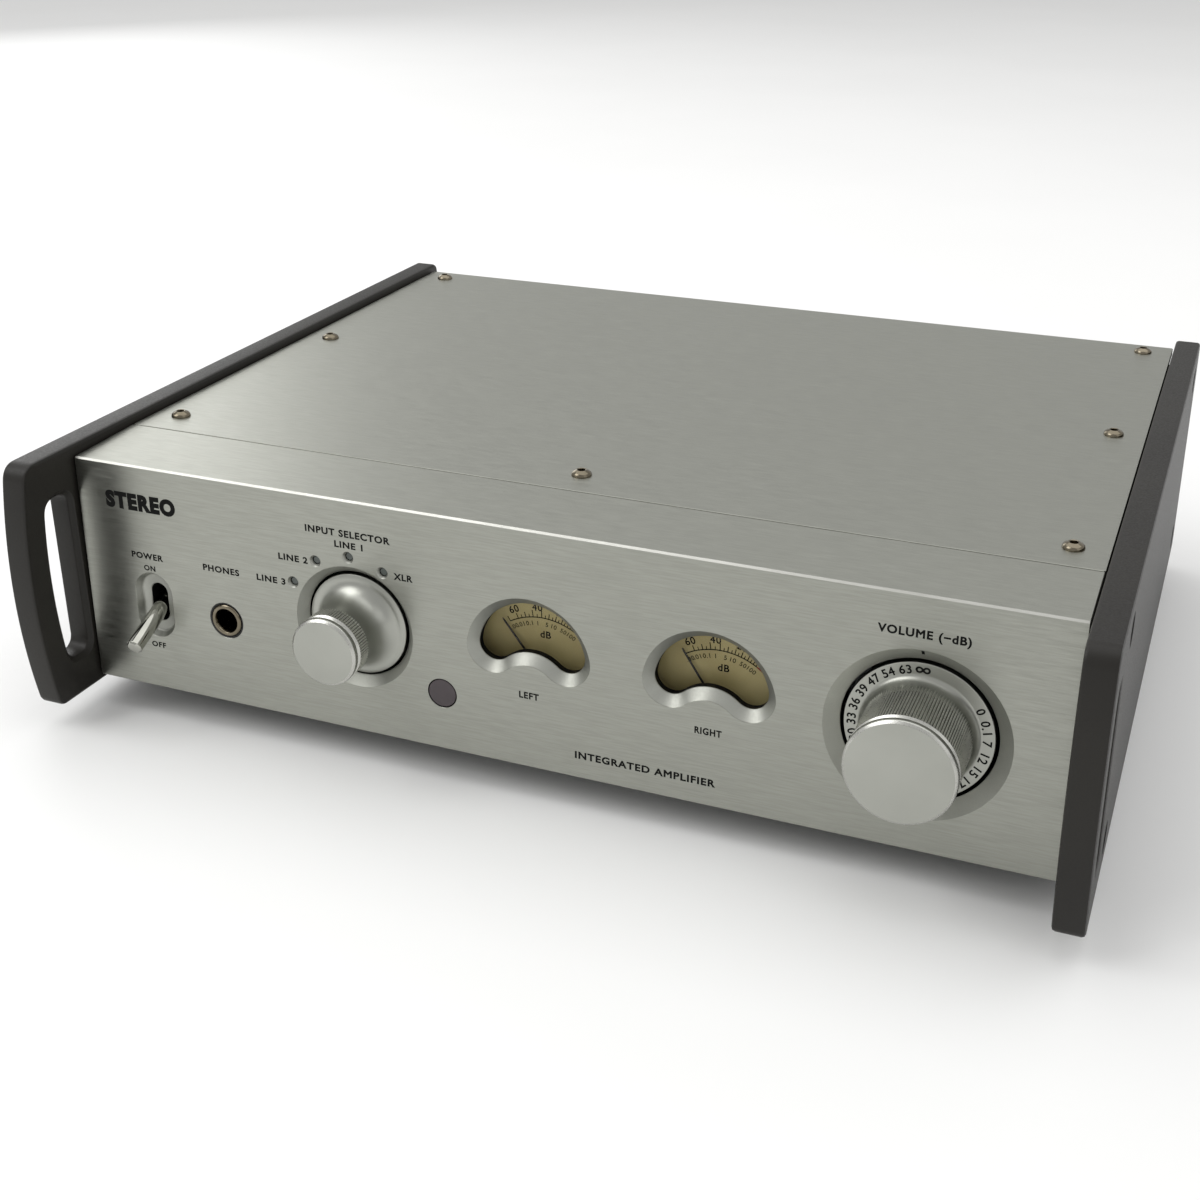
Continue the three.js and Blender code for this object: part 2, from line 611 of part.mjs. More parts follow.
// Mains inlet: flanged shell with a recess for the plug and three flat pins.
function mainsInlet() {
  const back = REAR.front + REAR.thickness;
  const { halfWidth, halfHeight, recess, flange: [flangeWidth, flangeHeight] } = INLET;
  const flange = extruded(roundedRectangle(flangeWidth, flangeHeight, 3), 'y', [back + 0.2, back + 2.4], 4);
  const [shellX, shellZ] = [halfWidth + 1.3, halfHeight + 1.3];
  const shell = block([-shellX, shellX], [back - recess - 2, back + 1], [-shellZ, shellZ]);
  const mouth = polygon([[-halfWidth, -halfHeight], [halfWidth, -halfHeight], [halfWidth, halfHeight - 4],
    [halfWidth - 4, halfHeight], [4 - halfWidth, halfHeight], [-halfWidth, halfHeight - 4]]);
  const well = extruded(mouth, 'y', [back - recess, back + 4]);
  const pinDepth = [back - recess - 1, back - 2];
  const pins = [[-7, -2], [7, -2], [0, 3]].map(([x, z]) => block([x - 1, x + 1], pinDepth, [z - 2, z + 2]));
  return joined(cut(joined(flange, shell), well), ...pins);
}

// ---- Inside ----

const TORUS = { x: -78, y: 112, outer: 47, inner: 15, low: 13, high: 57 };

function transformer() {
  const { outer, inner, low, high } = TORUS;
  const round = 7;
  return turnedUp([
    [inner, low + round], [inner + round, low], [outer - round, low], [outer, low + round],
    [outer, high - round], [outer - round, high], [inner + round, high], [inner, high - round],
    [inner, low + round],
  ], SIDES.large);
}

function transformerClamp() {
  const { low, high } = TORUS;
  const washer = post(24, [high + GAP, high + 2.3]);
  const bolt = post(3.5, [BASE + 1.5, high + 2], 0, 0, SIDES.small);
  const nut = post(6.5, [high + 2, high + 8], 0, 0, 6);
  return joined(washer, bolt, nut);
}

// A circuit board on four pillars, with the parts that stand on it.
function circuitBoard([x0, x1], [y0, y1], parts) {
  const top = BASE + 9.8;
  const sheet = block([x0, x1], [y0, y1], [top - 1.6, top]);
  const corners = [x0 + 5, x1 - 5].flatMap((x) => [y0 + 5, y1 - 5].map((y) => [x, y]));
  const pillars = corners.map(([x, y]) => post(3, [BASE + 1.5, top - 1], x, y, 6));
  return joined(sheet, ...pillars, ...parts);
}

function can(radius, height, x, y) {
  return post(radius, [BASE + 9, BASE + 9.8 + height], x, y, SIDES.small);
}

function relay(x, y, width, depth, height) {
  const sides = [[x - width / 2, x + width / 2], [y - depth / 2, y + depth / 2]];
  return block(...sides, [BASE + 9, BASE + 9.8 + height]);
}

function powerSupplyBoard() {
  return circuitBoard([-130, -26], [166, 196], [
    can(11, 34, -60, 181), can(11, 34, -84, 181), relay(-112, 181, 22, 16, 20), relay(-38, 181, 12, 20, 16),
  ]);
}

function amplifierBoard() {
  return circuitBoard([-22, 48], [60, 186], [
    can(8, 28, -10, 172), can(8, 28, 8, 172), relay(34, 168, 18, 24, 16),
    relay(-8, 84, 16, 16, 18), relay(-8, 124, 16, 16, 18), can(6, 20, 14, 84), can(6, 20, 14, 124),
  ]);
}

function heatSink() {
  const base = BASE + 10.1;
  const fins = [];
  for (let x = 29; x < 46; x += 3.2) fins.push(block([x, x + 1.4], [64, 146], [base + 2, base + 34]));
  return joined(block([27, 47.5], [64, 146], [base, base + 3]), ...fins);
}

function inputBoard() {
  return circuitBoard([70, 130], [70, 190], [
    relay(86, 176, 12, 16, 11), relay(106, 176, 12, 16, 11), relay(100, 140, 20, 8, 6),
    can(5, 13, 84, 100), can(5, 13, 98, 100), can(5, 13, 112, 100), relay(100, 84, 30, 8, 9),
  ]);
}

function frontBoard() {
  return block([-80, 68], [BOARD_Y, BOARD_Y + 1.6], [BASE + 6, FRONT.top - 12]);
}

// ---- Assembly ----

const amplifier = new THREE.Group();
amplifier.position.y = HANDLE_REACH - DEPTH / 2;

function add(name, geometry, material, [x, y, z] = [0, 0, 0]) {
  const mesh = new THREE.Mesh(geometry, material);
  mesh.name = name;
  mesh.position.set(x, y, z);
  amplifier.add(mesh);
  return mesh;
}

add('front_panel', frontPanel(), FINISH.brushed);
add('top_cover', topCover(), FINISH.brushed);
add('side_panel_left', sidePanel(-1), FINISH.graphite);
add('side_panel_right', sidePanel(1), FINISH.graphite);
add('bottom_chassis', bottomChassis(), FINISH.steel);
add('rear_panel', rearPanel(), FINISH.graphite);
SCREWS.forEach(([x, y], i) => add(`cover_screw_${i + 1}`, coverScrew(), FINISH.nickel, [x, y, 0]));
FEET.forEach(([x, y], i) => add(`foot_${i + 1}`, foot(), FINISH.plastic, [x, y, 0]));

add('volume_knob', volumeKnob(), FINISH.turned, [VOLUME.x, 0, AXIS_HEIGHT]);
add('volume_shaft', keyedShaft([-11, 18], 6), FINISH.steel, [VOLUME.x, 0, AXIS_HEIGHT]);
add('volume_potentiometer', shaftHousing(13, [7, 16, 44]), FINISH.steel, [VOLUME.x, 0, AXIS_HEIGHT]);
add('volume_motor', volumeMotor(), FINISH.steel, [VOLUME.x, 0, AXIS_HEIGHT]);
add('selector_knob', selectorKnob(), FINISH.turned, [SELECTOR.x, 0, AXIS_HEIGHT]);
add('selector_shaft', keyedShaft([-9, 17], 6), FINISH.steel, [SELECTOR.x, 0, AXIS_HEIGHT]);
add('selector_encoder', shaftHousing(7, [7, 15, BOARD_Y - GAP]), FINISH.steel, [SELECTOR.x, 0, AXIS_HEIGHT]);

const lever = add('power_lever', powerLever(), FINISH.chrome, [TOGGLE.x, TOGGLE.pivot, TOGGLE.z]);
lever.rotation.x = THREE.MathUtils.degToRad(TOGGLE.tilt);
add('power_switch', powerSwitch(), FINISH.plastic, [TOGGLE.x, 0, TOGGLE.z]);
add('phone_jack', phoneJack(), FINISH.plastic, [JACK.x, 0, JACK.z]);
add('phone_jack_ring', phoneJackRing(), FINISH.nickel, [JACK.x, 0, JACK.z]);
add('remote_window', rod(REMOTE.radius, [0.05, 2.5]), FINISH.lens, [REMOTE.x, 0, REMOTE.z]);
add('indicator_light_guide', lightGuide(), FINISH.clear);
add('front_board', frontBoard(), FINISH.board);

['left', 'right'].forEach((side, i) => {
  const place = [METER_X[i], 0, AXIS_HEIGHT];
  add(`meter_case_${side}`, meterCase(), FINISH.plastic, place);
  add(`meter_window_${side}`, meterWindow(), FINISH.clear, place);
  add(`meter_dial_${side}`, meterDial(), FINISH.dial, place);
  const needle = add(`meter_needle_${side}`, meterNeedle(), FINISH.needle, place);
  needle.position.z -= NEEDLE.pivotDrop;
  needle.rotation.y = -THREE.MathUtils.degToRad(NEEDLE.restTilt[i]);
});

add('speaker_terminal_block', speakerTerminalBlock(), FINISH.plastic);
POSTS.xs.forEach((x, i) => {
  add(`speaker_washer_${i + 1}`, speakerWasher(), FINISH.nickel, [x, 0, POSTS.z]);
  add(`speaker_cap_${i + 1}`, speakerCap(), FINISH.plastic, [x, 0, POSTS.z]);
});
XLR_XS.forEach((x, i) => {
  add(`xlr_socket_${i + 1}`, xlrSocket(), FINISH.plastic, [x, 0, SOCKET_Z]);
  add(`xlr_latch_${i + 1}`, xlrLatch(), FINISH.steel, [x, 0, SOCKET_Z]);
});
add('line_socket_block', lineSocketBlock(), FINISH.plastic);
add('mains_inlet', mainsInlet(), FINISH.plastic, [INLET.x, 0, INLET.z]);

add('transformer', transformer(), FINISH.winding, [TORUS.x, TORUS.y, 0]);
add('transformer_clamp', transformerClamp(), FINISH.steel, [TORUS.x, TORUS.y, 0]);
add('power_supply_board', powerSupplyBoard(), FINISH.board);
add('amplifier_board', amplifierBoard(), FINISH.board);
add('heat_sink', heatSink(), FINISH.steel);
add('input_board', inputBoard(), FINISH.board);

export default amplifier;
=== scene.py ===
import math
import bpy
import bmesh
from mathutils import Matrix, Vector
from mathutils.geometry import tessellate_polygon


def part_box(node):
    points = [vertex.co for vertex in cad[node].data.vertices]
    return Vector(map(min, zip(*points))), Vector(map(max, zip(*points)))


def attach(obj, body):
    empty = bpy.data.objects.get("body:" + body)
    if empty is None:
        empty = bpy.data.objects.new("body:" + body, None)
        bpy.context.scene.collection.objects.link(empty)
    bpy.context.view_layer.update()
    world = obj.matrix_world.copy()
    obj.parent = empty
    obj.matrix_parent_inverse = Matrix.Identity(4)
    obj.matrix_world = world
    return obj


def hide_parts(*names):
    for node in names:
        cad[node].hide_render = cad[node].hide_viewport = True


# Stereo amplifier: brushed casing between two handle panels, knobs, meters, and a panel of sockets behind.
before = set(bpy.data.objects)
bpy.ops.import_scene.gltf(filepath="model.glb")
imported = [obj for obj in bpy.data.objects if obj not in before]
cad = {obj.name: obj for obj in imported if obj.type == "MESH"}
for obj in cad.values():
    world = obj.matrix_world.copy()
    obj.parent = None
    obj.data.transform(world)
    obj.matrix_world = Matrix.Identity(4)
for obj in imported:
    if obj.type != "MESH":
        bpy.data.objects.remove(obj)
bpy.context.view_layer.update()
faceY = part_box("front_panel")[0].y


def inFrame(point):  # millimetres from the front panel's face and the floor, to metres in the frame
    return Vector((point[0] / 1000, point[1] / 1000 + faceY, point[2] / 1000))


def boxOf(node):  # a CAD node's two corners, in those millimetres
    return [(c.x * 1000, (c.y - faceY) * 1000, c.z * 1000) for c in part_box(node)]


def middle(node):
    low, high = boxOf(node)
    return [(a + b) / 2 for a, b in zip(low, high)]


def heights(node):
    low, high = boxOf(node)
    return low[2], high[2]


print("frame loaded:", len(cad), "parts")


# Materials

def linearColour(code):
    channels = [int(code[i:i + 2], 16) / 255 for i in (1, 3, 5)]
    return [c / 12.92 if c <= 0.04045 else ((c + 0.055) / 1.055) ** 2.4 for c in channels] + [1]


def addNode(tree, kind, settings=None, inputs=None):
    made = tree.nodes.new(kind)
    for key, value in (settings or {}).items():
        setattr(made, key, value)
    for key, value in (inputs or {}).items():
        if isinstance(value, bpy.types.NodeSocket):
            tree.links.new(value, made.inputs[key])
        else:
            made.inputs[key].default_value = value
    return made


# Every finish: colour, its shade in patches, metal, roughness range, grain in mm, relief in mm, patches in mm,
# and what is set on the shader itself. An anisotropic finish has its grain along X.
looks = {
    # anodised aluminium sheet, belt-brushed across the width: silky streaks, glints stretched across the grain
    # (the real lines, about 0.05 mm apart, are too fine to show, so they are drawn at 0.2 mm)
    "brushedAluminium": ("#A2A39B", "#9A9B93", 1, (0.28, 0.42), (5, 0.2, 0.2), 0.001, (7, 0.35, 0.35),
                         {"Anisotropic": 0.75}),
    # the same stock, milled: smoother, with lines too fine to see apart
    "milledAluminium": ("#ACADA6", "#A0A19A", 1, (0.4, 0.52), 0.4, 0.001, 30, {}),
    # glass-bead blasted, clear-anodised aluminium: an even, soft satin without direction
    # (the real pits, about 0.1 mm wide, are drawn at 0.25 mm so that they show)
    "blastedAluminium": ("#AAABA4", "#A2A39C", 1, (0.32, 0.37), 0.25, 0.0008, 25, {}),
    # painted highlight: the knurl's ridges, the same alloy as the knob, are coloured much lighter so that each
    # ridge shows as a bright line
    "knurlRidgePaintedHighlight": ("#E6E6E0", "#DADAD4", 1, (0.26, 0.34), 0.4, 0.0006, 20, {}),
    # painted shade: the bottoms of the knurl, the same alloy, are coloured dark so that the lines between the
    # ridges read as shaded
    "knurlGroovePaintedShade": ("#63635D", "#575751", 1, (0.4, 0.5), 0.4, 0.0006, 20, {}),
    # diamond-cut edges: a real cut finish, coloured lighter as a painted highlight, so they show as thin
    # mirror-like lines of light
    "cutAluminiumPaintedHighlight": ("#C6C6C0", "#BABAB4", 1, (0.24, 0.34), 0.5, 0.0006, 30, {}),
    # a planed chamfer: a real machined edge, coloured lighter as a painted highlight, so it shows as a light,
    # soft line along the front edge
    "planedChamferPaintedHighlight": ("#B9B9B3", "#ADADA7", 1, (0.36, 0.46), 0.5, 0.0006, 30, {}),
    # powder-coated die casting: dark warm grey with a fine dry texture
    "charcoalPowderCoat": ("#24221E", "#1E1C19", 0, (0.38, 0.52), 0.45, 0.02, 45,
                           {"Specular IOR Level": 0.28}),
    # black enamel on steel sheet: nearly matt, a little orange peel
    "blackEnamel": ("#1B1B1C", "#141415", 0, (0.45, 0.6), 0.9, 0.012, 60, {}),
    # near-black: on the heat sink it is the real black anodising; on hole walls, socket barrels and the lever's
    # root it is painted shade, so the gaps show dark
    "blackAnodisedAndPaintedShade": ("#050505", "#030303", 0, (0.5, 0.7), 1, 0.002, 20, {"Specular IOR Level": 0.2}),
    # nickel-plated brass and steel: bright, faintly yellow
    "nickelPlate": ("#827A6A", "#6F6859", 1, (0.12, 0.22), 0.7, 0.001, 6, {}),
    # gilt contacts: warm and glossy
    "goldPlate": ("#E0B75C", "#CFA24A", 1, (0.16, 0.28), 0.8, 0.0012, 8, {}),
    # polished chrome on brass: clear reflections
    "polishedChrome": ("#B2B2AA", "#A6A69E", 1, (0.05, 0.1), 1.5, 0.0005, 12, {}),
    # zinc-plated steel: dull silver, faintly mottled
    "zincSteel": ("#A9ABAD", "#8E9297", 1, (0.34, 0.5), 1.2, 0.003, 9, {}),
    # silk-screened ink on metal: dense, dry, very dark grey
    "screenInk": ("#060706", "#0A0B09", 0, (0.6, 0.75), 0.3, 0.001, 4, {"Specular IOR Level": 0.15}),
    # the same ink in brick red, for the end of the meter scale
    "redInk": ("#9C3A2E", "#8A3026", 0, (0.55, 0.7), 0.3, 0.001, 4, {}),
    # the same ink in off-white, for the words on the black rear
    "whiteInk": ("#D8D8D4", "#C8C8C4", 0, (0.5, 0.65), 0.3, 0.001, 4, {}),
    # printed card behind the meter glass: khaki, matt, slightly uneven
    "printedCard": ("#C4B680", "#B5A671", 0, (0.6, 0.75), 0.5, 0.003, 14, {}),
    # lacquered brass strip: nearly black, with a satin edge
    "needleLacquer": ("#1B1611", "#120F0B", 0, (0.4, 0.55), 0.4, 0.001, 5, {}),
    # dyed polycarbonate that passes infrared: dark plum, glossy
    "plumPolycarbonate": ("#3A2F33", "#33292D", 0, (0.12, 0.2), 2, 0.001, 10, {"IOR": 1.58}),
    # smoked acrylic light guide: dark and glossy while unlit
    "smokedAcrylic": ("#5B615D", "#4A504C", 0, (0.12, 0.22), 1, 0.001, 4, {"IOR": 1.49}),
    # injection-moulded ABS: satin black
    "mouldedAbs": ("#17181A", "#111214", 0, (0.35, 0.5), 0.5, 0.005, 18, {}),
    # glossy moulded nylon of the terminal caps
    "glossNylon": ("#131417", "#0E0F12", 0, (0.14, 0.24), 1.2, 0.003, 10, {}),
    # the same nylon dyed red: a deep colour under a softer gloss
    "redNylon": ("#A5231F", "#8F1D1A", 0, (0.2, 0.32), 1.2, 0.003, 8, {}),
    # the same nylon undyed: milky white with a satin gloss
    "whiteNylon": ("#DAD9D4", "#CAC9C3", 0, (0.25, 0.4), 1.2, 0.003, 8, {}),
    # moulded rubber: black-grey, dry
    "mouldedRubber": ("#1C1C1C", "#252525", 0, (0.7, 0.85), 0.8, 0.02, 9, {}),
    # solder mask over copper: deep green with a soft gloss
    "solderMask": ("#1C5A3A", "#17492F", 0, (0.22, 0.4), (1.5, 0.6, 1.5), 0.02, 5, {}),
    # polyester winding tape: amber yellow, overlapping turns
    "windingTape": ("#C99A2B", "#AF8320", 0, (0.25, 0.4), (6, 6, 0.8), 0.06, 12, {}),
    # matt emulsion on the studio floor
    "paleFloor": ("#F4F4F3", "#F2F2F1", 0, (0.7, 0.8), 4, 0.002, 300, {}),
}


def emptyMaterial(name):
    material = bpy.data.materials.new(name)
    material.use_nodes = True
    material.node_tree.nodes.clear()
    return material, material.node_tree


def perMetre(size):  # a size in mm, or one for each axis, to pattern scales
    sizes = size if isinstance(size, tuple) else (size,) * 3
    return [1000 / each for each in sizes]


def makeMaterial(name, look):
    base, shade, metal, roughness, grainSize, relief, patchSize, shaderValues = look
    material, tree = emptyMaterial(name)
    place = addNode(tree, "ShaderNodeTexCoord")
    fine = addNode(tree, "ShaderNodeMapping", inputs={
        "Vector": place.outputs["Object"], "Scale": perMetre(grainSize)})
    grain = addNode(tree, "ShaderNodeTexNoise", inputs={
        "Vector": fine.outputs[0], "Scale": 1.0, "Detail": 2.0, "Roughness": 0.6})
    wide = addNode(tree, "ShaderNodeMapping", inputs={
        "Vector": place.outputs["Object"], "Scale": perMetre(patchSize)})
    patches = addNode(tree, "ShaderNodeTexNoise", inputs={
        "Vector": wide.outputs[0], "Scale": 1.0, "Detail": 3.0, "Roughness": 0.55})
    spread = addNode(tree, "ShaderNodeMapRange", inputs={
        "Value": patches.outputs["Fac"], "From Min": 0.35, "From Max": 0.65})
    colour = addNode(tree, "ShaderNodeMix", {"data_type": "RGBA"}, {
        0: spread.outputs[0], 6: linearColour(base), 7: linearColour(shade)})
    rough = addNode(tree, "ShaderNodeMapRange", inputs={
        "Value": grain.outputs["Fac"], "From Min": 0.3, "From Max": 0.7,
        "To Min": roughness[0], "To Max": roughness[1]})
    bump = addNode(tree, "ShaderNodeBump", inputs={
        "Height": grain.outputs["Fac"], "Distance": relief / 1000, "Strength": 1.0})
    shader = addNode(tree, "ShaderNodeBsdfPrincipled", inputs={
        "Base Color": colour.outputs[2], "Roughness": rough.outputs[0], "Normal": bump.outputs[0],
        "Metallic": metal, **shaderValues})
    if "Anisotropic" in shaderValues:  # glints spread at right angles to the grain
        facing = addNode(tree, "ShaderNodeNewGeometry")
        across = addNode(tree, "ShaderNodeVectorMath", {"operation": "CROSS_PRODUCT"}, {
            0: facing.outputs["Normal"], 1: (1, 0, 0)})
        tree.links.new(across.outputs[0], shader.inputs["Tangent"])
    addNode(tree, "ShaderNodeOutputMaterial", inputs={"Surface": shader.outputs[0]})
    return material


finish = {name: makeMaterial(name, look) for name, look in looks.items()}


# Clear cast acrylic: hardly seen, apart from a soft reflection and a few faint wipe marks.
def makeClearAcrylic():
    sizes = {"alpha": (0.03, 0.07), "rough": (0.03, 0.09), "smear": 9}
    material, tree = emptyMaterial("clearAcrylic")
    place = addNode(tree, "ShaderNodeTexCoord")
    smear = addNode(tree, "ShaderNodeTexNoise", inputs={
        "Vector": place.outputs["Object"], "Scale": 1000 / sizes["smear"], "Detail": 2.0})
    alpha = addNode(tree, "ShaderNodeMapRange", inputs={
        "Value": smear.outputs["Fac"], "To Min": sizes["alpha"][0], "To Max": sizes["alpha"][1]})
    rough = addNode(tree, "ShaderNodeMapRange", inputs={
        "Value": smear.outputs["Fac"], "To Min": sizes["rough"][0], "To Max": sizes["rough"][1]})
    shader = addNode(tree, "ShaderNodeBsdfPrincipled", inputs={
        "Base Color": linearColour("#1A1B1A"), "Alpha": alpha.outputs[0], "Roughness": rough.outputs[0],
        "IOR": 1.49, "Specular IOR Level": 0.6})
    addNode(tree, "ShaderNodeOutputMaterial", inputs={"Surface": shader.outputs[0]})
    return material


finish["clearAcrylic"] = makeClearAcrylic()
print("finishes made:", len(finish))


# Shapes: lists of points in mm, faces, and each face's place in the piece's list of finishes

def newShape():
    return {"points": [], "faces": [], "finishes": []}


def addFace(shape, corners, which=0):
    shape["faces"].append(tuple(corners))
    shape["finishes"].append(which)


def addRing(shape, points):
    first = len(shape["points"])
    shape["points"] += [tuple(p) for p in points]
    return list(range(first, first + len(points)))


def bridge(shape, a, b, which=0):  # a ring of one point closes to a cone or a disc
    count = max(len(a), len(b))
    for i in range(count):
        j = (i + 1) % count
        if len(a) == 1:
            addFace(shape, (a[0], b[j], b[i]), which)
        elif len(b) == 1:
            addFace(shape, (a[i], a[j], b[0]), which)
        else:
            addFace(shape, (a[i], a[j], b[j], b[i]), which)


def fillFlat(shape, rings, which=0):  # the first ring is the outline and the rest are holes
    flat = [i for ring in rings for i in ring]
    outlines = [[Vector(shape["points"][i]) for i in ring] for ring in rings]
    for corners in tessellate_polygon(outlines):
        addFace(shape, [flat[c] for c in corners], which)


def chain(shape, loops, whiches=0):  # bridges each loop to the next and returns the first and the last ring
    rings = [addRing(shape, loop) for loop in loops]
    for k in range(len(rings) - 1):
        bridge(shape, rings[k], rings[k + 1], whiches[k] if isinstance(whiches, (list, tuple)) else whiches)
    return rings[0], rings[-1]


def plate(shape, outer, holes=(), pockets=(), whiches=0, ends=(0, 0)):
    # outer and holes are (loops, finishes) from one face to the other; pockets start from the first face
    outerFirst, outerLast = chain(shape, outer, whiches)
    made = [chain(shape, loops, which) for loops, which in holes]
    dents = [chain(shape, loops, which) for loops, which in pockets]
    fillFlat(shape, [outerFirst] + [m[0] for m in made] + [d[0] for d in dents], ends[0])
    fillFlat(shape, [outerLast] + [m[1] for m in made], ends[1])


def rounded(profile, steps=4):  # (a, b, fillet, finish) corners to (a, b, finish) points
    points = []
    for i, (a, b, fillet, which) in enumerate(profile):
        if not fillet or i in (0, len(profile) - 1):
            points.append((a, b, which))
            continue
        here, before, after = Vector((a, b)), Vector(profile[i - 1][:2]), Vector(profile[i + 1][:2])
        start = here + (before - here).normalized() * min(fillet, (before - here).length / 2)
        end = here + (after - here).normalized() * min(fillet, (after - here).length / 2)
        for k in range(steps + 1):
            t = k / steps
            p = start * (1 - t) ** 2 + here * 2 * t * (1 - t) + end * t ** 2
            points.append((p.x, p.y, profile[i - 1][3] if k < steps / 2 else which))
    return points


def circle(radius, x, z, level, axis="y", sides=96):
    turnBy = [2 * math.pi * k / sides for k in range(sides)]
    return [onAxis(x + radius * math.cos(t), z + radius * math.sin(t), level, axis) for t in turnBy]


def onAxis(a, b, level, axis):
    return {"x": (level, a, b), "y": (a, level, b), "z": (a, b, level)}[axis]


def turned(shape, profile, a, b, axis="y", sides=96, closed=False):  # profile of (radius, level, finish)
    rings = []
    for radius, level, _ in profile:
        points = circle(radius, a, b, level, axis, sides) if radius > 1e-6 else [onAxis(a, b, level, axis)]
        rings.append(addRing(shape, points))
    for k in range(len(rings) - (0 if closed else 1)):
        bridge(shape, rings[k], rings[(k + 1) % len(rings)], profile[k][2])


def stadium(halfWidth, halfHeight, x, z, level, sides=64):
    points = []
    for k in range(sides):
        t = 2 * math.pi * k / sides
        shift = (halfHeight - halfWidth) * (1 if math.sin(t) >= 0 else -1)
        points.append((x + halfWidth * math.cos(t), level, z + shift + halfWidth * math.sin(t)))
    return points


def arcPoints(x, z, radius, start, end, count):
    turnBy = [start + (end - start) * k / count for k in range(count + 1)]
    return [(x + radius * math.cos(t), z + radius * math.sin(t)) for t in turnBy]


def roundedRectangle(halfWidth, halfHeight, radius, x=0, z=0, count=6):
    points = []
    for k, (sx, sz) in enumerate(((1, 1), (-1, 1), (-1, -1), (1, -1))):
        cx, cz = x + sx * (halfWidth - radius), z + sz * (halfHeight - radius)
        points += arcPoints(cx, cz, radius, k * math.pi / 2, (k + 1) * math.pi / 2, count)
    return points


def plateLoops(halfWidth, halfHeight, radius, x, z, steps, count=6, shrink=1.0):  # steps of (inset, y)
    loops = []
    for inset, y in steps:
        outline = roundedRectangle(halfWidth - inset, halfHeight - inset, radius - inset * shrink, x, z, count)
        loops.append([(a, y, b) for a, b in outline])
    return loops


def hexagon(halfFlats, level, axis="z", sides=24):
    points = []
    for k in range(sides):
        t = 2 * math.pi * k / sides
        corner = (t + math.pi / 6) % (math.pi / 3) - math.pi / 6
        radius = halfFlats / math.cos(corner)
        points.append(onAxis(radius * math.cos(t), radius * math.sin(t), level, axis))
    return points


def insetLoop(points, distance):  # moves an anticlockwise outline inwards
    count = len(points)
    moved = []
    for i in range(count):
        before, here, after = (Vector(points[(i + k) % count]) for k in (-1, 0, 1))
        a, b = (here - before).normalized(), (after - here).normalized()
        normal = (Vector((-a.y, a.x)) + Vector((-b.y, b.x))).normalized()
        cosine = max(0.4, normal.dot(Vector((-a.y, a.x))))
        moved.append(tuple(here + normal * distance / cosine))
    return moved


def meshOf(name, shape, finishes, sharp=32, inMillimetres=True):
    mesh = bpy.data.meshes.new(name)
    points = [inFrame(p) for p in shape["points"]] if inMillimetres else shape["points"]
    mesh.from_pydata(points, [], shape["faces"])
    mesh.polygons.foreach_set("material_index", shape["finishes"])
    for each in finishes:
        mesh.materials.append(finish[each])
    tidy = bmesh.new()
    tidy.from_mesh(mesh)
    bmesh.ops.remove_doubles(tidy, verts=tidy.verts, dist=1e-7)
    bmesh.ops.dissolve_degenerate(tidy, edges=tidy.edges, dist=1e-7)
    bmesh.ops.recalc_face_normals(tidy, faces=tidy.faces)
    tidy.to_mesh(mesh)
    tidy.free()
    mesh.shade_smooth()
    mesh.set_sharp_from_angle(angle=math.radians(sharp))
    return mesh


def show(name, mesh, body, stands=()):
    piece = bpy.data.objects.new(name, mesh)
    bpy.context.scene.collection.objects.link(piece)
    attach(piece, body)
    if stands:
        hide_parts(*stands)
    return piece


def showShape(name, shape, finishes, body, stands=(), sharp=32, evened=False):
    piece = show(name, meshOf(name, shape, finishes, sharp), body, stands)
    if evened:  # keeps large flats flat beside small rounded edges
        even = piece.modifiers.new("evenNormals", "WEIGHTED_NORMAL")
        even.keep_sharp = True
    return piece


# Geometry node tools for what repeats

def newTool(name, inputs):
    tool = bpy.data.node_groups.new(name, "GeometryNodeTree")
    tool.interface.new_socket("Geometry", in_out="INPUT", socket_type="NodeSocketGeometry")
    tool.interface.new_socket("Geometry", in_out="OUTPUT", socket_type="NodeSocketGeometry")
    for label, kind in inputs.items():
        tool.interface.new_socket(label, in_out="INPUT", socket_type="NodeSocket" + kind)
    return tool, addNode(tool, "NodeGroupInput").outputs


def endTool(tool, geometry, material):
    real = addNode(tool, "GeometryNodeRealizeInstances", inputs={0: geometry})
    dressed = addNode(tool, "GeometryNodeSetMaterial", inputs={
        "Geometry": real.outputs[0], "Material": material})
    addNode(tool, "NodeGroupOutput", inputs={0: dressed.outputs[0]})


# Ribs side by side round a cylinder that stands on Z: a straight knurl, or the grip of a cap.
def makeKnurlTool():
    tool, given = newTool("knurl", {
        "Count": "Int", "Ring Radius": "Float", "Rib Radius": "Float", "Rib Length": "Float",
        "Sides": "Int", "Material": "Material"})
    ring = addNode(tool, "GeometryNodeMeshCircle", inputs={
        "Vertices": given["Count"], "Radius": given["Ring Radius"]})
    rib = addNode(tool, "GeometryNodeMeshCylinder", {"fill_type": "NGON"}, {
        "Vertices": given["Sides"], "Radius": given["Rib Radius"], "Depth": given["Rib Length"]})
    index = addNode(tool, "GeometryNodeInputIndex")
    part = addNode(tool, "ShaderNodeMath", {"operation": "DIVIDE"}, {0: index.outputs[0], 1: given["Count"]})
    angle = addNode(tool, "ShaderNodeMath", {"operation": "MULTIPLY"}, {0: part.outputs[0], 1: 2 * math.pi})
    turn = addNode(tool, "ShaderNodeCombineXYZ", inputs={2: angle.outputs[0]})
    ribs = addNode(tool, "GeometryNodeInstanceOnPoints", inputs={
        "Points": ring.outputs[0], "Instance": rib.outputs[0], "Rotation": turn.outputs[0]})
    endTool(tool, ribs.outputs[0], given["Material"])
    return tool


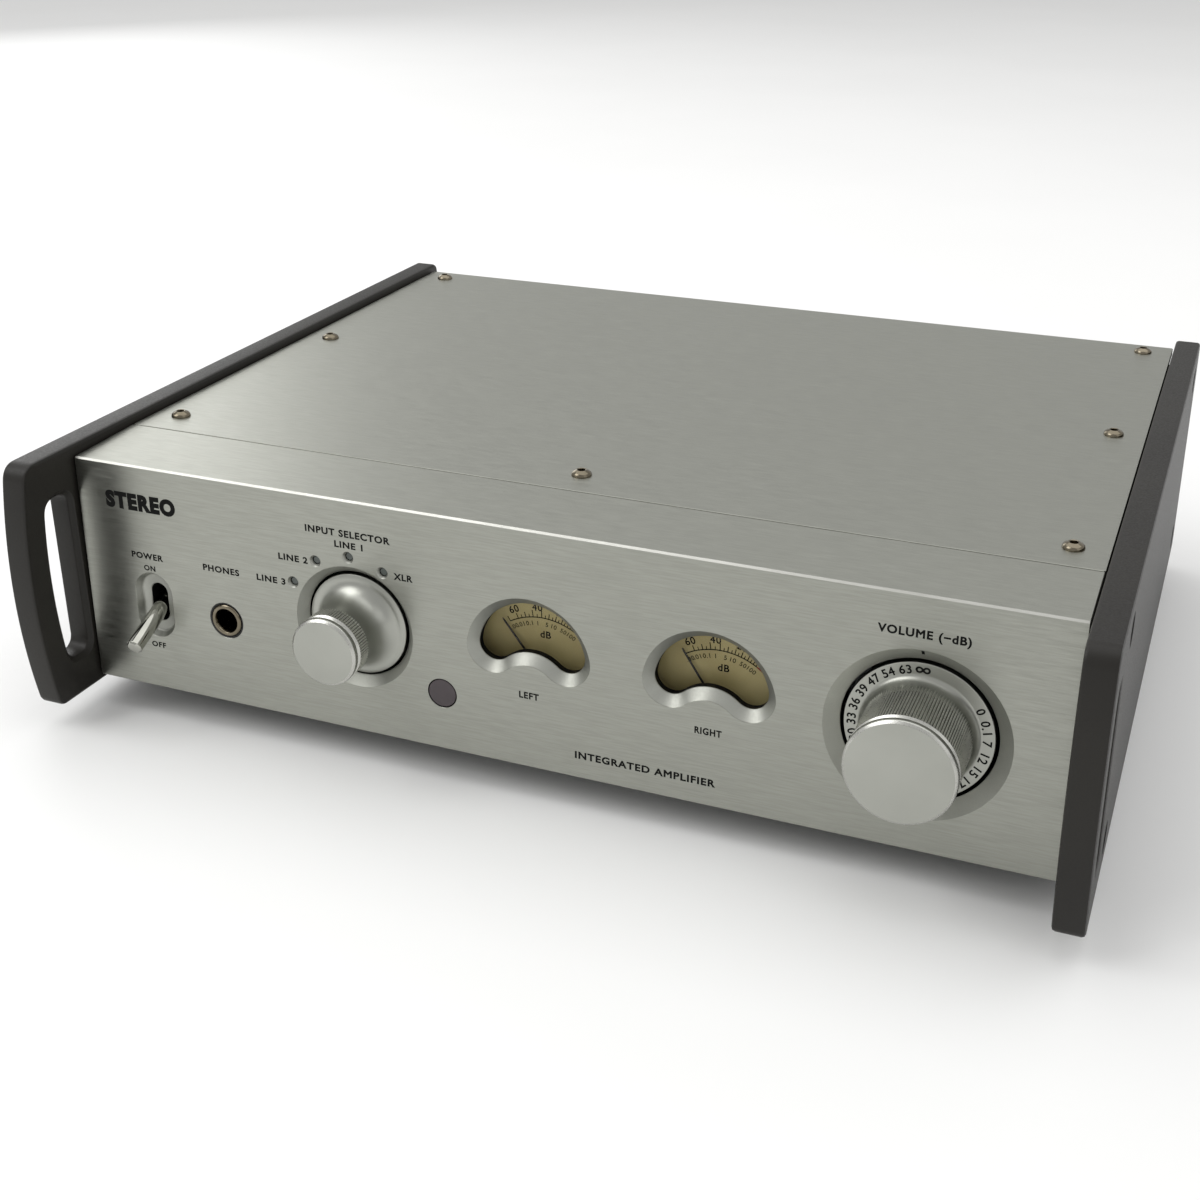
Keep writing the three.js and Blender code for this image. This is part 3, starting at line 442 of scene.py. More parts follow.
# A piece set down at each point, all turned the same way and then spun a little by chance round their own axis.
def makeCopyTool():
    tool, given = newTool("copiesAtPoints", {
        "Piece": "Object", "Turn": "Vector", "Spin": "Float", "Seed": "Int", "Material": "Material"})
    source = addNode(tool, "GeometryNodeObjectInfo", inputs={"Object": given["Piece"]})
    chance = addNode(tool, "FunctionNodeRandomValue", {"data_type": "FLOAT"}, {
        2: 0.0, 3: given["Spin"], "Seed": given["Seed"]})
    spin = addNode(tool, "ShaderNodeCombineXYZ", inputs={2: chance.outputs[1]})
    turned = addNode(tool, "FunctionNodeRotateRotation", {"rotation_space": "GLOBAL"}, {
        "Rotation": spin.outputs[0], "Rotate By": given["Turn"]})
    copies = addNode(tool, "GeometryNodeInstanceOnPoints", inputs={
        "Points": given["Geometry"], "Instance": source.outputs["Geometry"], "Rotation": turned.outputs[0]})
    endTool(tool, copies.outputs[0], given["Material"])
    return tool


tools = {"knurl": makeKnurlTool(), "copies": makeCopyTool()}


def runTool(name, tool, values, points=()):  # the tool's result as a plain mesh
    carrier = bpy.data.objects.new(name + "Carrier", bpy.data.meshes.new(name + "Points"))
    carrier.data.from_pydata([tuple(p) for p in points], [], [])
    bpy.context.scene.collection.objects.link(carrier)
    modifier = carrier.modifiers.new("tool", "NODES")
    modifier.node_group = tool
    for item in tool.interface.items_tree:
        if item.item_type == "SOCKET" and item.in_out == "INPUT" and item.name in values:
            modifier[item.identifier] = values[item.name]
    graph = bpy.context.evaluated_depsgraph_get()
    mesh = bpy.data.meshes.new_from_object(carrier.evaluated_get(graph), depsgraph=graph)
    mesh.name = name
    bpy.data.objects.remove(carrier)
    return mesh


def copies(name, source, points, material, body, slot, stands=(), turn=(0, 0, 0), spin=0.0, seed=1, sharp=32):
    # source is a shape in mm about its own origin, standing on Z; points are in mm
    mesh = meshOf(name + "Source", {**source, "points": [[c / 1000 for c in p] for p in source["points"]]},
                  [material], sharp, inMillimetres=False)
    model = bpy.data.objects.new(name + "Source", mesh)
    bpy.context.scene.collection.objects.link(model)
    values = {"Piece": model, "Turn": turn, "Spin": spin, "Seed": seed, "Material": finish[material]}
    made = runTool(name, tools["copies"], values, [inFrame(p) for p in points])
    bpy.data.objects.remove(model)
    made.set_sharp_from_angle(angle=math.radians(sharp))
    return show(name, made, body, stands)


def knurl(name, sizes, centre, y, material, body):
    # ribs along Y between the two values of y
    values = {"Count": sizes["count"], "Ring Radius": sizes["radius"] / 1000, "Rib Radius": sizes["rib"] / 1000,
              "Rib Length": (y[1] - y[0]) / 1000, "Sides": sizes.get("sides", 4), "Material": finish[material]}
    mesh = runTool(name, tools["knurl"], values)
    mesh.transform(Matrix.Rotation(math.pi / 2, 4, "X"))
    mesh.transform(Matrix.Translation(inFrame((centre[0], (y[0] + y[1]) / 2, centre[1]))))
    return show(name, mesh, body)


# Lettering

ink = {"half": 0.01, "swell": 1.5, "lift": 0.005}  # half thickness, what it is stretched by, gap to the face


def letterMesh(text, bold=0.0, spacing=1.0):  # letters about 1 high, centred, in X and Y; bold thickens strokes
    curve = bpy.data.curves.new("letters", "FONT")
    curve.body = text
    curve.align_x = "CENTER"
    curve.space_character = spacing
    curve.bevel_depth = bold
    curve.bevel_resolution = 0
    curve.resolution_u = 4
    curve.extrude = ink["half"]
    carrier = bpy.data.objects.new("letters", curve)
    bpy.context.scene.collection.objects.link(carrier)
    graph = bpy.context.evaluated_depsgraph_get()
    mesh = bpy.data.meshes.new_from_object(carrier.evaluated_get(graph), depsgraph=graph)
    bpy.data.objects.remove(carrier)
    return mesh


def spanOf(mesh):
    xs = [v.co.x for v in mesh.vertices]
    ys = [v.co.y for v in mesh.vertices]
    return min(xs), max(xs), min(ys), max(ys)


capHeight = spanOf(letterMesh("H"))[3]


def addText(shape, text, x, z, height, width=None, y=0.0, turn=0.0, about=None, which=0, bold=0.02,
            spacing=1.1):
    # centred on (x, z) on a face at y that looks to the front; turn is anticlockwise about a point
    mesh = letterMesh(text, bold, spacing)
    left, right, low, high = spanOf(mesh)
    if text != "∞":
        low, high = 0, capHeight
    scaleZ = height / (high - low)
    scaleX = width / (right - left) if width else scaleZ
    centre = (left + right) / 2
    pivot = about or (x, z)
    cosine, sine = math.cos(turn), math.sin(turn)
    points = []
    for v in mesh.vertices:
        px = x + (v.co.x - centre) * scaleX - pivot[0]
        pz = z + (v.co.y - low) * scaleZ - height / 2 - pivot[1]
        depth = y - min(max(v.co.z, -ink["half"]), ink["half"]) * ink["swell"] - ink["lift"]
        points.append((pivot[0] + px * cosine - pz * sine, depth, pivot[1] + px * sine + pz * cosine))
    first = len(shape["points"])
    shape["points"] += points
    for polygon in mesh.polygons:
        addFace(shape, [first + i for i in polygon.vertices], which)
    bpy.data.meshes.remove(mesh)


print("tools ready")


# Casing

axisZ = middle("volume_knob")[2]  # every dial is centred on this height
selector = {"x": middle("selector_knob")[0], "rim": 17.65, "hole": 15.2, "bevel": 2.75}
volume = {"x": middle("volume_knob")[0], "rim": 22.6, "hole": 18.95, "bevel": 2.85}
meters = {side: {"x": middle("meter_window_" + side)[0]} for side in ("left", "right")}
meterWindow = {"radius": 17.4, "lobe": 7.0, "lobeX": 10.25, "notch": 8.5, "bevel": 2.45, "depth": 2.7,
               "wall": 1.9}
# "dish" holds (inset, depth) steps down the recess, and "slot" the half sizes of the hole at its bottom
toggle = {"x": middle("power_switch")[0], "z": middle("power_switch")[2], "halfWidth": 6.05, "halfHeight": 9.85,
          "dish": ((-0.15, 0), (0, 0.12), (0.75, 1.7), (1.0, 2.1), (1.45, 2.35)), "slot": (2.7, 5.7)}
jack = {"x": middle("phone_jack_ring")[0], "z": middle("phone_jack_ring")[2], "hole": 5.35, "chamfer": 0.1}
remote = {"x": middle("remote_window")[0], "z": middle("remote_window")[2], "radius": 4.0, "hole": 4.25,
          "chamfer": 0.08}
lamps = {"x": selector["x"] - 0.6, "z": axisZ + 0.1, "radius": 20.2, "angles": (-60, -30, 0, 30),
         "dish": ((1.7, 0), (1.62, 0.08), (1.2, 0.75), (1.15, 0.9))}  # (radius, depth)
frontPanel = {"thickness": 6.0, "band": 26.6, "rise": 0.68, "bandThickness": 3.2, "chamfer": 0.5, "edge": 0.25,
              "ledgeDrop": 2.3, "ledgeThickness": 1.8}


def lampPlaces():
    places = []
    for degrees in lamps["angles"]:
        a = math.radians(degrees)
        places.append((lamps["x"] + lamps["radius"] * math.sin(a), lamps["z"] + lamps["radius"] * math.cos(a)))
    return places


def meterLoop(x, inset, level, count=18):  # a large arc, two lobes, and a notch between them
    w = meterWindow
    lobeZ = math.sqrt((w["radius"] - w["lobe"]) ** 2 - w["lobeX"] ** 2)
    notchZ = lobeZ - math.sqrt((w["lobe"] + w["notch"]) ** 2 - w["lobeX"] ** 2)
    shoulder = math.atan2(lobeZ, w["lobeX"])
    valley = math.atan2(lobeZ - notchZ, w["lobeX"])
    arcs = [
        (0, 0, w["radius"] - inset, shoulder, math.pi - shoulder, count * 3),
        (-w["lobeX"], lobeZ, w["lobe"] - inset, math.pi - shoulder, 2 * math.pi - valley, count),
        (0, notchZ, w["notch"] + inset, math.pi - valley, valley, count),
        (w["lobeX"], lobeZ, w["lobe"] - inset, math.pi + valley, 2 * math.pi + shoulder, count),
    ]
    points = []
    for dx, dz, radius, start, end, steps in arcs:
        points += arcPoints(x + dx, axisZ + dz, radius, start, end, steps)[:-1]
    return [(a, level, b) for a, b in points]


# finish 2 on the hole walls, behind the bevels and at the bottoms of the lamp dishes, is near-black painted
# shade
def bevelledHole(control):
    rim, hole, bevel = control["rim"], control["hole"], control["bevel"]
    steps = [(rim + 0.1, 0), (rim - 0.1, 0.12), (hole + 0.15, bevel - 0.1), (hole, bevel + 0.1),
             (hole, frontPanel["thickness"])]
    return [circle(r, control["x"], axisZ, y, sides=128) for r, y in steps], (0, 1, 1, 2)


def plainHole(control):
    hole = control["hole"]
    steps = [(hole + 0.1, 0), (hole, control["chamfer"]), (hole, frontPanel["thickness"])]
    return [circle(r, control["x"], control["z"], y, sides=48) for r, y in steps], (0, 2)


def panelHoles():
    back = frontPanel["thickness"]
    holes = [bevelledHole(selector), bevelledHole(volume)]
    bevel, depth = meterWindow["bevel"], meterWindow["depth"]
    wallEnd = depth + meterWindow["wall"]
    steps = [(-0.1, 0), (0.08, 0.12), (bevel - 0.1, depth - 0.1), (bevel, depth + 0.1), (bevel, wallEnd),
             (bevel - 1.2, wallEnd + 0.2), (0.2, back)]
    for meter in meters.values():
        holes.append(([meterLoop(meter["x"], inset, y) for inset, y in steps], (0, 1, 1, 2, 2, 2)))
    slotX, slotZ = toggle["slot"]
    steps = [(toggle["halfWidth"] - inset, toggle["halfHeight"] - inset, y) for inset, y in toggle["dish"]]
    steps += [(slotX + 0.2, slotZ + 0.2, 2.45), (slotX, slotZ, 2.65), (slotX, slotZ, back)]
    holes.append(([stadium(a, b, toggle["x"], toggle["z"], y) for a, b, y in steps], (0, 1, 1, 1, 1, 1, 2)))
    steps = lamps["dish"] + ((lamps["dish"][-1][0], back),)
    for x, z in lampPlaces():
        holes.append(([circle(r, x, z, y, sides=24) for r, y in steps], (1, 1, 1, 2)))
    return holes + [plainHole(jack), plainHole(remote)]


# An angle profile: front plate, bright chamfer (lighter by a painted highlight), sloping band, and the ledge
# that carries the cover's edge.
def makeFrontPanel():
    low, high = boxOf("front_panel")
    half, base, top, back = high[0], low[2], high[2], high[1]
    sizes = frontPanel
    faceTop, ledge = top - sizes["rise"], top - sizes["ledgeDrop"]
    under = ledge - sizes["ledgeThickness"]
    band, chamfer, thickness = sizes["band"], sizes["chamfer"], sizes["thickness"]
    profile = [(0, base + 0.4), (0, faceTop - chamfer), (chamfer, faceTop), (band - 0.3, top),
               (band, top - 0.3), (band, ledge), (back, ledge), (back, under), (band - 2, under),
               (thickness, faceTop - sizes["bandThickness"]), (thickness, base), (0.4, base)]
    narrow = insetLoop(profile, -sizes["edge"])
    shape = newShape()
    loops = [[(x, y, z) for y, z in outline] for x, outline in (
        (-half, narrow), (sizes["edge"] - half, profile), (half - sizes["edge"], profile), (half, narrow))]
    rings = [addRing(shape, loop) for loop in loops]
    for k in (0, 2):
        bridge(shape, rings[k], rings[k + 1])
    a, b = rings[1], rings[2]
    faceSide, chamferSide, backSide = 0, 1, 9  # places in the profile
    # the chamfer takes finish 3, coloured lighter as a painted highlight
    for i in range(len(profile)):
        j = (i + 1) % len(profile)
        if i not in (faceSide, backSide):
            addFace(shape, (a[i], a[j], b[j], b[i]), 3 if i == chamferSide else 0)
    made = [chain(shape, loops, which) for loops, which in panelHoles()]
    for end, i in enumerate((faceSide, backSide)):
        fillFlat(shape, [[a[i], b[i], b[i + 1], a[i + 1]]] + [m[end] for m in made])
    fillFlat(shape, [rings[0]])
    fillFlat(shape, [rings[3]])
    showShape("front_panel_brushed", shape, ["brushedAluminium", "milledAluminium", "blackAnodisedAndPaintedShade",
              "planedChamferPaintedHighlight"], "casing", ["front_panel"], evened=True)


def makeTopCover():
    sizes = {"edge": 0.22, "corner": 0.5}
    low, high = boxOf("top_cover")
    halfX, halfY = (high[0] - low[0]) / 2, (high[1] - low[1]) / 2
    cy = (high[1] + low[1]) / 2
    steps = [(0, low[2]), (0, high[2] - sizes["edge"]), (0.06, high[2] - 0.06), (sizes["edge"], high[2])]
    loops = []
    for inset, z in steps:
        outline = roundedRectangle(halfX - inset, halfY - inset, sizes["corner"], 0, cy, 4)
        loops.append([(x, y, z) for x, y in outline])
    shape = newShape()
    plate(shape, loops)
    showShape("top_cover_brushed", shape, ["brushedAluminium"], "casing",
              ["top_cover"], evened=True)


sidePanel = {"thickness": 7.6, "bow": 172.0, "bowZ": 49.3, "bar": 9.0, "edge": 0.9,
             "corner": {"top": 4.5, "bottom": 2.5, "back": 4.0},
             "slot": {"low": 19.2, "high": 68.4, "backLow": -1.9, "backHigh": -2.9, "round": 4.0, "bevel": 1.5}}
sideScrews = {"places": ((12, 72), (12, 17), (205, 72), (205, 17)), "recess": 4.2, "depth": 4.0,
              "boss": 4.2, "bossRise": 1.2}


def curve(a, control, b, count=8):
    points = []
    for k in range(count):
        t = k / count
        points.append(tuple(a[i] * (1 - t) ** 2 + 2 * control[i] * t * (1 - t) + b[i] * t * t for i in (0, 1)))
    return points


def bowPoints(radius, middleY, middleZ, start, end, count):
    points = []
    for k in range(count):
        z = start + (end - start) * k / count
        points.append((middleY - math.sqrt(radius ** 2 - (z - middleZ) ** 2), z))
    return points


def sideOutlines():  # the panel and its handle slot in (y, z), both anticlockwise seen from the right
    low, high = boxOf("side_panel_right")
    front, bottom, back, top = low[1], low[2], high[1], high[2]
    bow = sidePanel["bow"]
    middleY, middleZ = front + bow, sidePanel["bowZ"]
    c = sidePanel["corner"]

    def yAt(z, radius):
        return middleY - math.sqrt(radius ** 2 - (z - middleZ) ** 2)

    outline = curve((yAt(bottom + c["bottom"], bow), bottom + c["bottom"]), (yAt(bottom, bow), bottom),
                    (yAt(bottom, bow) + c["bottom"], bottom))
    outline += curve((back - c["back"], bottom), (back, bottom), (back, bottom + c["back"]))
    outline += curve((back, top - c["back"]), (back, top), (back - c["back"], top))
    outline += curve((yAt(top, bow) + c["top"], top), (yAt(top, bow), top),
                     (yAt(top - c["top"], bow), top - c["top"]))
    outline += bowPoints(bow, middleY, middleZ, top - c["top"], bottom + c["bottom"], 24)
    inner = bow - sidePanel["bar"]
    s = sidePanel["slot"]
    r = s["round"]
    slot = curve((yAt(s["low"] + r, inner), s["low"] + r), (yAt(s["low"], inner), s["low"]),
                 (yAt(s["low"], inner) + r, s["low"]))
    slot += curve((s["backLow"] - r, s["low"]), (s["backLow"], s["low"]), (s["backLow"], s["low"] + r))
    slot += curve((s["backHigh"], s["high"] - r), (s["backHigh"], s["high"]), (s["backHigh"] - r, s["high"]))
    slot += curve((yAt(s["high"], inner) + r, s["high"]), (yAt(s["high"], inner), s["high"]),
                  (yAt(s["high"] - r, inner), s["high"] - r))
    slot += bowPoints(inner, middleY, middleZ, s["high"] - r, s["low"] + r, 20)
    return outline, slot


# The plate, its soft edges, the slot with its bevelled inner mouth, four screw recesses and the bosses inside.
def makeSidePanel(side):
    sign = 1 if side == "right" else -1
    outer, edge = boxOf("side_panel_right")[1][0], sidePanel["edge"]
    inner = outer - sidePanel["thickness"]
    outline, slot = sideOutlines()
    bevel = sidePanel["slot"]["bevel"]
    outerSteps = [(edge, outer), (edge * 0.3, outer - edge * 0.28), (0, outer - edge), (0, inner + edge),
                  (edge * 0.3, inner + edge * 0.28), (edge, inner)]
    slotSteps = [(-edge, outer), (-edge * 0.3, outer - edge * 0.28), (0, outer - edge), (0, inner + bevel),
                 (-0.25, inner + bevel - 0.5), (-bevel + 0.3, inner + 0.35), (-bevel, inner)]
    shape = newShape()
    loops = [[(sign * x, y, z) for y, z in insetLoop(outline, inset)] for inset, x in outerSteps]
    slotLoops = [[(sign * x, y, z) for y, z in insetLoop(slot, inset)] for inset, x in slotSteps]
    pockets = []
    for y, z in sideScrews["places"]:
        r, depth = sideScrews["recess"], sideScrews["depth"]
        steps = [(r + 0.2, 0), (r, 0.2), (r, depth - 0.2), (r - 0.2, depth)]
        rings = [circle(radius, y, z, sign * (outer - deep), "x", 40) for radius, deep in steps]
        pockets.append((rings + [[(sign * (outer - depth), y, z)]], 0))
    plate(shape, loops, [(slotLoops, 0)], pockets)
    boss, bossEnd, bossRoot = sideScrews["boss"], sign * (inner - sideScrews["bossRise"]), sign * (inner + 0.2)
    for y, z in sideScrews["places"][1:]:
        turned(shape, [(0, bossEnd, 0), (boss, bossEnd, 0), (boss + 0.2, bossRoot, 0), (0, bossRoot, 0)],
               y, z, "x", 24)
    showShape("side_panel_coated_" + side, shape, ["charcoalPowderCoat"], "casing",
              ["side_panel_" + side], evened=True)


# A dark strip, put in as painted shade, closes the gap between the chassis and each side panel, so no light
# comes through and the gap shows dark.
def makeShadeStrips():
    sizes = {"inner": 135.65, "outer": 137.35, "low": 64.0, "high": 67.0, "front": 6.8, "back": 213.8}
    shape = newShape()
    for sign in (-1, 1):
        loops = []
        for y in (sizes["front"], sizes["back"]):
            loops.append([(sign * x, y, z) for x in (sizes["inner"], sizes["outer"])
                          for z in (sizes["low"], sizes["high"])[::1 if x == sizes["inner"] else -1]])
        plate(shape, loops)
    showShape("side_gaskets_moulded", shape, ["mouldedRubber"], "casing")


def buttonScrew(radius, height, socket, shank):  # a domed head with a hexagonal socket, standing on Z
    shape = newShape()
    dome = [(radius, 0.0), (radius, height * 0.16)]
    dome += [(radius * math.cos(t) ** 0.9, height * (0.16 + 0.84 * math.sin(t))) for t in (0.35, 0.65, 0.95)]
    loops = [circle(shank, 0, 0, -1.2, "z", 24), circle(shank, 0, 0, 0, "z", 24)]
    loops += [circle(r, 0, 0, z, "z", 24) for r, z in dome if r > socket * 1.3]
    loops += [circle(socket * 1.32, 0, 0, height * 0.97, "z", 24), hexagon(socket, height * 0.9),
              hexagon(socket, height * 0.25), hexagon(socket * 0.5, height * 0.15)]
    first, last = chain(shape, loops)
    fillFlat(shape, [first])
    fillFlat(shape, [last])
    return shape


def makeCoverScrews():
    nodes = ["cover_screw_%d" % i for i in range(1, 8)]
    places = [middle(n) for n in nodes]
    seat = heights("top_cover")[1]
    source = buttonScrew(radius=2.8, height=1.65, socket=1.0, shank=1.4)
    copies("cover_screws_plated", source, [(x, y, seat) for x, y, _ in places], "nickelPlate", "casing",
           "nickel_plate", nodes, spin=math.pi, seed=5)


def makeSideScrews():
    seat = boxOf("side_panel_right")[1][0] - sideScrews["depth"]
    source = buttonScrew(radius=3.9, height=2.6, socket=1.6, shank=2.0)
    for side, sign in (("right", 1), ("left", -1)):
        points = [(sign * (seat + 0.05), y, z) for y, z in sideScrews["places"]]
        copies("side_screws_" + side, source, points, "blackEnamel", "casing", "chassis_steel",
               turn=(0, sign * math.pi / 2, 0), spin=math.pi, seed=9)


def makeFeet():
    sizes = {"radius": 10.0, "flangeZ": 6.4, "neck": 8.5, "neckZ": 5.6, "sole": 7.4, "dimple": 2.0}
    nodes = ["foot_%d" % i for i in range(1, 5)]
    top, radius, dimple = heights("foot_1")[1], sizes["radius"], sizes["dimple"]
    profile = rounded([(0, 0.25, 0, 0), (dimple, 0.25, 0.1, 0), (dimple + 0.3, 0.0, 0.1, 0),
                       (sizes["sole"], 0, 0.5, 0), (sizes["neck"], sizes["neckZ"], 0.6, 0),
                       (radius, sizes["flangeZ"], 0.5, 0), (radius, top, 0, 0), (0, top, 0, 0)])
    shape = newShape()
    turned(shape, profile, 0, 0, "z", 48)
    points = [(middle(n)[0], middle(n)[1], 0) for n in nodes]
    copies("feet_moulded", shape, points, "mouldedRubber", "casing", "foot_rubber", nodes)


makeFrontPanel()
makeTopCover()
for side in ("left", "right"):
    makeSidePanel(side)
makeShadeStrips()
makeCoverScrews()
makeSideScrews()
makeFeet()
print("casing made")


# Knobs

def flare(rim, rimY, neck, neckY, which, steps=12):  # a quarter ellipse from the neck out to the rim
    points = []
    for k in range(steps + 1):
        a = (1 - k / steps) * math.pi / 2
        points.append((rim - (rim - neck) * math.sin(a), neckY + (rimY - neckY) * math.cos(a), which))
    return points


volumeKnob = {"face": -18.2, "nose": 13.45, "grip": 12.95, "flare": 15.2, "skirt": 18.05, "ring": 2.6,
              "back": 5.2, "bore": 3.4, "wall": 8, "knurl": {"count": 112, "radius": 12.95, "rib": 0.27}}
selectorKnob = {"face": -16.2, "nose": 9.5, "grip": 9.05, "band": 7.6, "neck": 8.2, "flare": 13.4,
                "skirt": 14.5, "ring": 2.6, "back": 5.2, "bore": 3.4, "wall": 7,
                "knurl": {"count": 76, "radius": 9.1, "rib": 0.3}}
# in this list the cut edges carry a painted highlight and the knurl's bottoms painted shade
knobFinishes = ["blastedAluminium", "cutAluminiumPaintedHighlight", "milledAluminium", "knurlGroovePaintedShade"]


# the cut edges take the lighter cut finish, a painted highlight
def nose(face, radius):  # a cut edge round the face, then a groove with a second cut edge behind it
    return rounded([(0, face, 0, 0), (radius - 0.75, face, 0.08, 1), (radius - 0.1, face + 0.6, 0.12, 0),
                    (radius, face + 0.9, 0.2, 0), (radius - 0.05, face + 1.9, 0.15, 2),
                    (radius - 0.7, face + 2.2, 0.1, 2), (radius - 0.7, face + 2.75, 0.1, 1),
                    (radius - 0.1, face + 3.3, 0.1, 0)], 3)


def skirt(k, start, rimY, fillet):  # the outer edge, the back, and the bore for the shaft
    profile = rounded([start, (k["skirt"], rimY, fillet, 0), (k["skirt"], k["back"], 0.1, 0),
                       (k["bore"], k["back"], 0, 0)])[1:]
    return profile + [(k["bore"], k["face"] + k["wall"], 0), (0, k["face"] + k["wall"], 0)]


def makeVolumeKnob():
    k = volumeKnob
    grip = k["grip"]
    # finish 3 under the ribs is painted shade between them
    profile = nose(k["face"], k["nose"]) + [(grip - 0.1, k["face"] + 3.5, 3), (grip - 0.1, -1.9, 0)]
    profile += flare(k["flare"], k["ring"], grip, -1.7, 0, 16)
    profile += skirt(k, (k["flare"] + 0.1, k["ring"], 0, 0), k["ring"], 0.25)
    shape = newShape()
    turned(shape, profile, volume["x"], axisZ, "y", 160)
    showShape("volume_knob_turned", shape, knobFinishes, "volume_control", ["volume_knob"])
    # the ribs take the lighter ridge finish, a painted highlight
    knurl("volume_knob_knurl", k["knurl"], (volume["x"], axisZ), (k["face"] + 3.45, 0.7), "knurlRidgePaintedHighlight",
          "volume_control")


def makeSelectorKnob():
    k = selectorKnob
    bandEnd = k["face"] + k["band"]
    profile = nose(k["face"], k["nose"])
    # finish 3 under the ribs is painted shade between them
    profile += rounded([(k["grip"], k["face"] + 3.5, 0, 3), (k["grip"], bandEnd, 0.3, 0),
                        (k["neck"], bandEnd + 0.5, 0.5, 0), (k["neck"], -5.6, 0, 0)])
    profile += flare(k["flare"], 1.9, k["neck"], -5.5, 0, 16)
    profile += skirt(k, (k["flare"] + 0.1, 1.95, 0, 0), k["ring"] - 0.3, 0.2)
    shape = newShape()
    turned(shape, profile, selector["x"], axisZ, "y", 128)
    showShape("selector_knob_turned", shape, knobFinishes, "input_selector",
              ["selector_knob"])
    # the ribs take the lighter ridge finish, a painted highlight
    knurl("selector_knob_knurl", k["knurl"], (selector["x"], axisZ), (k["face"] + 3.5, bandEnd - 0.1),
          "knurlRidgePaintedHighlight", "input_selector")


def makeVolumeScale():  # the numbers stand round the skirt, fifteen degrees apart, from silence to full
    numbers = ["∞", "63", "54", "47", "39", "36", "33", "30", "28", "26", "25", "23", "22", "20", "19", "17",
               "15", "12", "7", "0.1", "0"]
    sizes = {"radius": 16.15, "step": 15, "figure": (2.1, None), "infinity": (1.7, 3.6)}  # (height, width)
    shape = newShape()
    for k, number in enumerate(numbers):
        height, width = sizes["infinity" if number == "∞" else "figure"]
        addText(shape, number, volume["x"], axisZ + sizes["radius"], height, width, y=volumeKnob["ring"],
                turn=math.radians(sizes["step"] * k), about=(volume["x"], axisZ), bold=0.022)
    showShape("volume_scale_print", shape, ["screenInk"], "volume_control")


makeVolumeKnob()
makeSelectorKnob()
makeVolumeScale()
print("knobs made")


# Switch, headphone socket and remote window

lever = {"pivotY": 6.8, "tilt": 24.3, "reach": 18.2, "radius": 2.3, "ball": 2.35}


def makePowerLever():
    length = lever["reach"] / math.cos(math.radians(lever["tilt"]))
    radius, ball = lever["radius"], lever["ball"]
    # the root of the lever, inside the slot, takes finish 1: near-black painted shade
    profile = rounded([(0, -length, 0, 0), (radius - 0.5, -length, 0.12, 0), (radius, -length + 0.5, 0.12, 0),
                       (radius, -3.6, 0.4, 0), (2.1, -2.2, 0.3, 0), (ball, -1.2, 0.6, 0), (ball, 1.2, 0.6, 1),
                       (1.2, 2.7, 0, 1), (0, 2.7, 0, 1)], 6)
    shape = newShape()
    turned(shape, profile, 0, 0, "y", 64)
    tilt = Matrix.Rotation(math.radians(lever["tilt"]), 3, "X")
    pivot = Vector((toggle["x"], lever["pivotY"], toggle["z"]))
    shape["points"] = [tuple(tilt @ Vector(p) + pivot) for p in shape["points"]]
    showShape("power_lever_polished", shape, ["polishedChrome", "blackAnodisedAndPaintedShade"], "power_lever",
              ["power_lever"])


def makeHeadphoneSocket():
    x, z = jack["x"], jack["z"]
    ring = rounded([(3.25, 9.5, 0, 0), (3.25, 0.6, 0.2, 0), (3.65, -0.3, 0.2, 0), (4.45, -0.3, 0.25, 0),
                    (4.75, 0.1, 0.1, 0), (4.75, 9.5, 0, 0)])
    shape = newShape()
    turned(shape, ring, x, z, "y", 64, closed=True)
    showShape("phone_jack_ring_plated", shape, ["nickelPlate"], "casing", ["phone_jack_ring"])
    back = boxOf("phone_jack")[1][1]
    collar = rounded([(4.9, 9.9, 0, 0), (4.9, 0.15, 0.1, 0), (5.25, 0.05, 0.1, 0), (5.25, 6.5, 0, 0),
                      (7, 6.5, 0, 0), (7, back, 0, 0), (3.3, back, 0, 0), (3.3, 9.9, 0, 0)])
    shape = newShape()
    turned(shape, collar, x, z, "y", 64, closed=True)
    turned(shape, [(0, back - 3, 0), (3.3, back - 3, 0), (3.3, back, 0), (0, back, 0)], x, z, "y", 32)
    showShape("phone_jack_moulded", shape, ["mouldedAbs"], "casing", ["phone_jack"])


def makeRemoteWindow():
    r = remote["radius"]
    profile = rounded([(0, 0.02, 0, 0), (r, 0.06, 0.25, 0), (r, 2.5, 0.1, 0), (0, 2.5, 0, 0)])
    shape = newShape()
    turned(shape, profile, remote["x"], remote["z"], "y", 64)
    showShape("remote_window_dyed", shape, ["plumPolycarbonate"], "casing",
              ["remote_window"])


makePowerLever()
makeHeadphoneSocket()
makeRemoteWindow()
print("switch and socket made")


# Meters

needle = {"pivotDrop": 7.7, "length": 17.9, "tilt": {"left": 37.6, "right": 33.4}, "width": (0.62, 0.42),
          "hub": 2.1, "front": 8.45, "back": 8.7}
dialPrint = {"drop": 9.6, "radius": 17.5, "from": -31.5, "line": 0.3, "redFrom": 33, "red": 0.42, "level": 9.58,
             "thickness": 0.02, "figures": {"60": -23.5, "40": -4, "20": 16, "0": 35},
             "watts": {".00": -30, ".01": -22.5, "0.1": -13.5, "1": -4.7, "5": 4.7, "10": 12, "50": 22,
                       "100": 31}}


def onDial(x, radius, degrees):
    a = math.radians(degrees)
    return x + radius * math.sin(a), axisZ - dialPrint["drop"] + radius * math.cos(a)


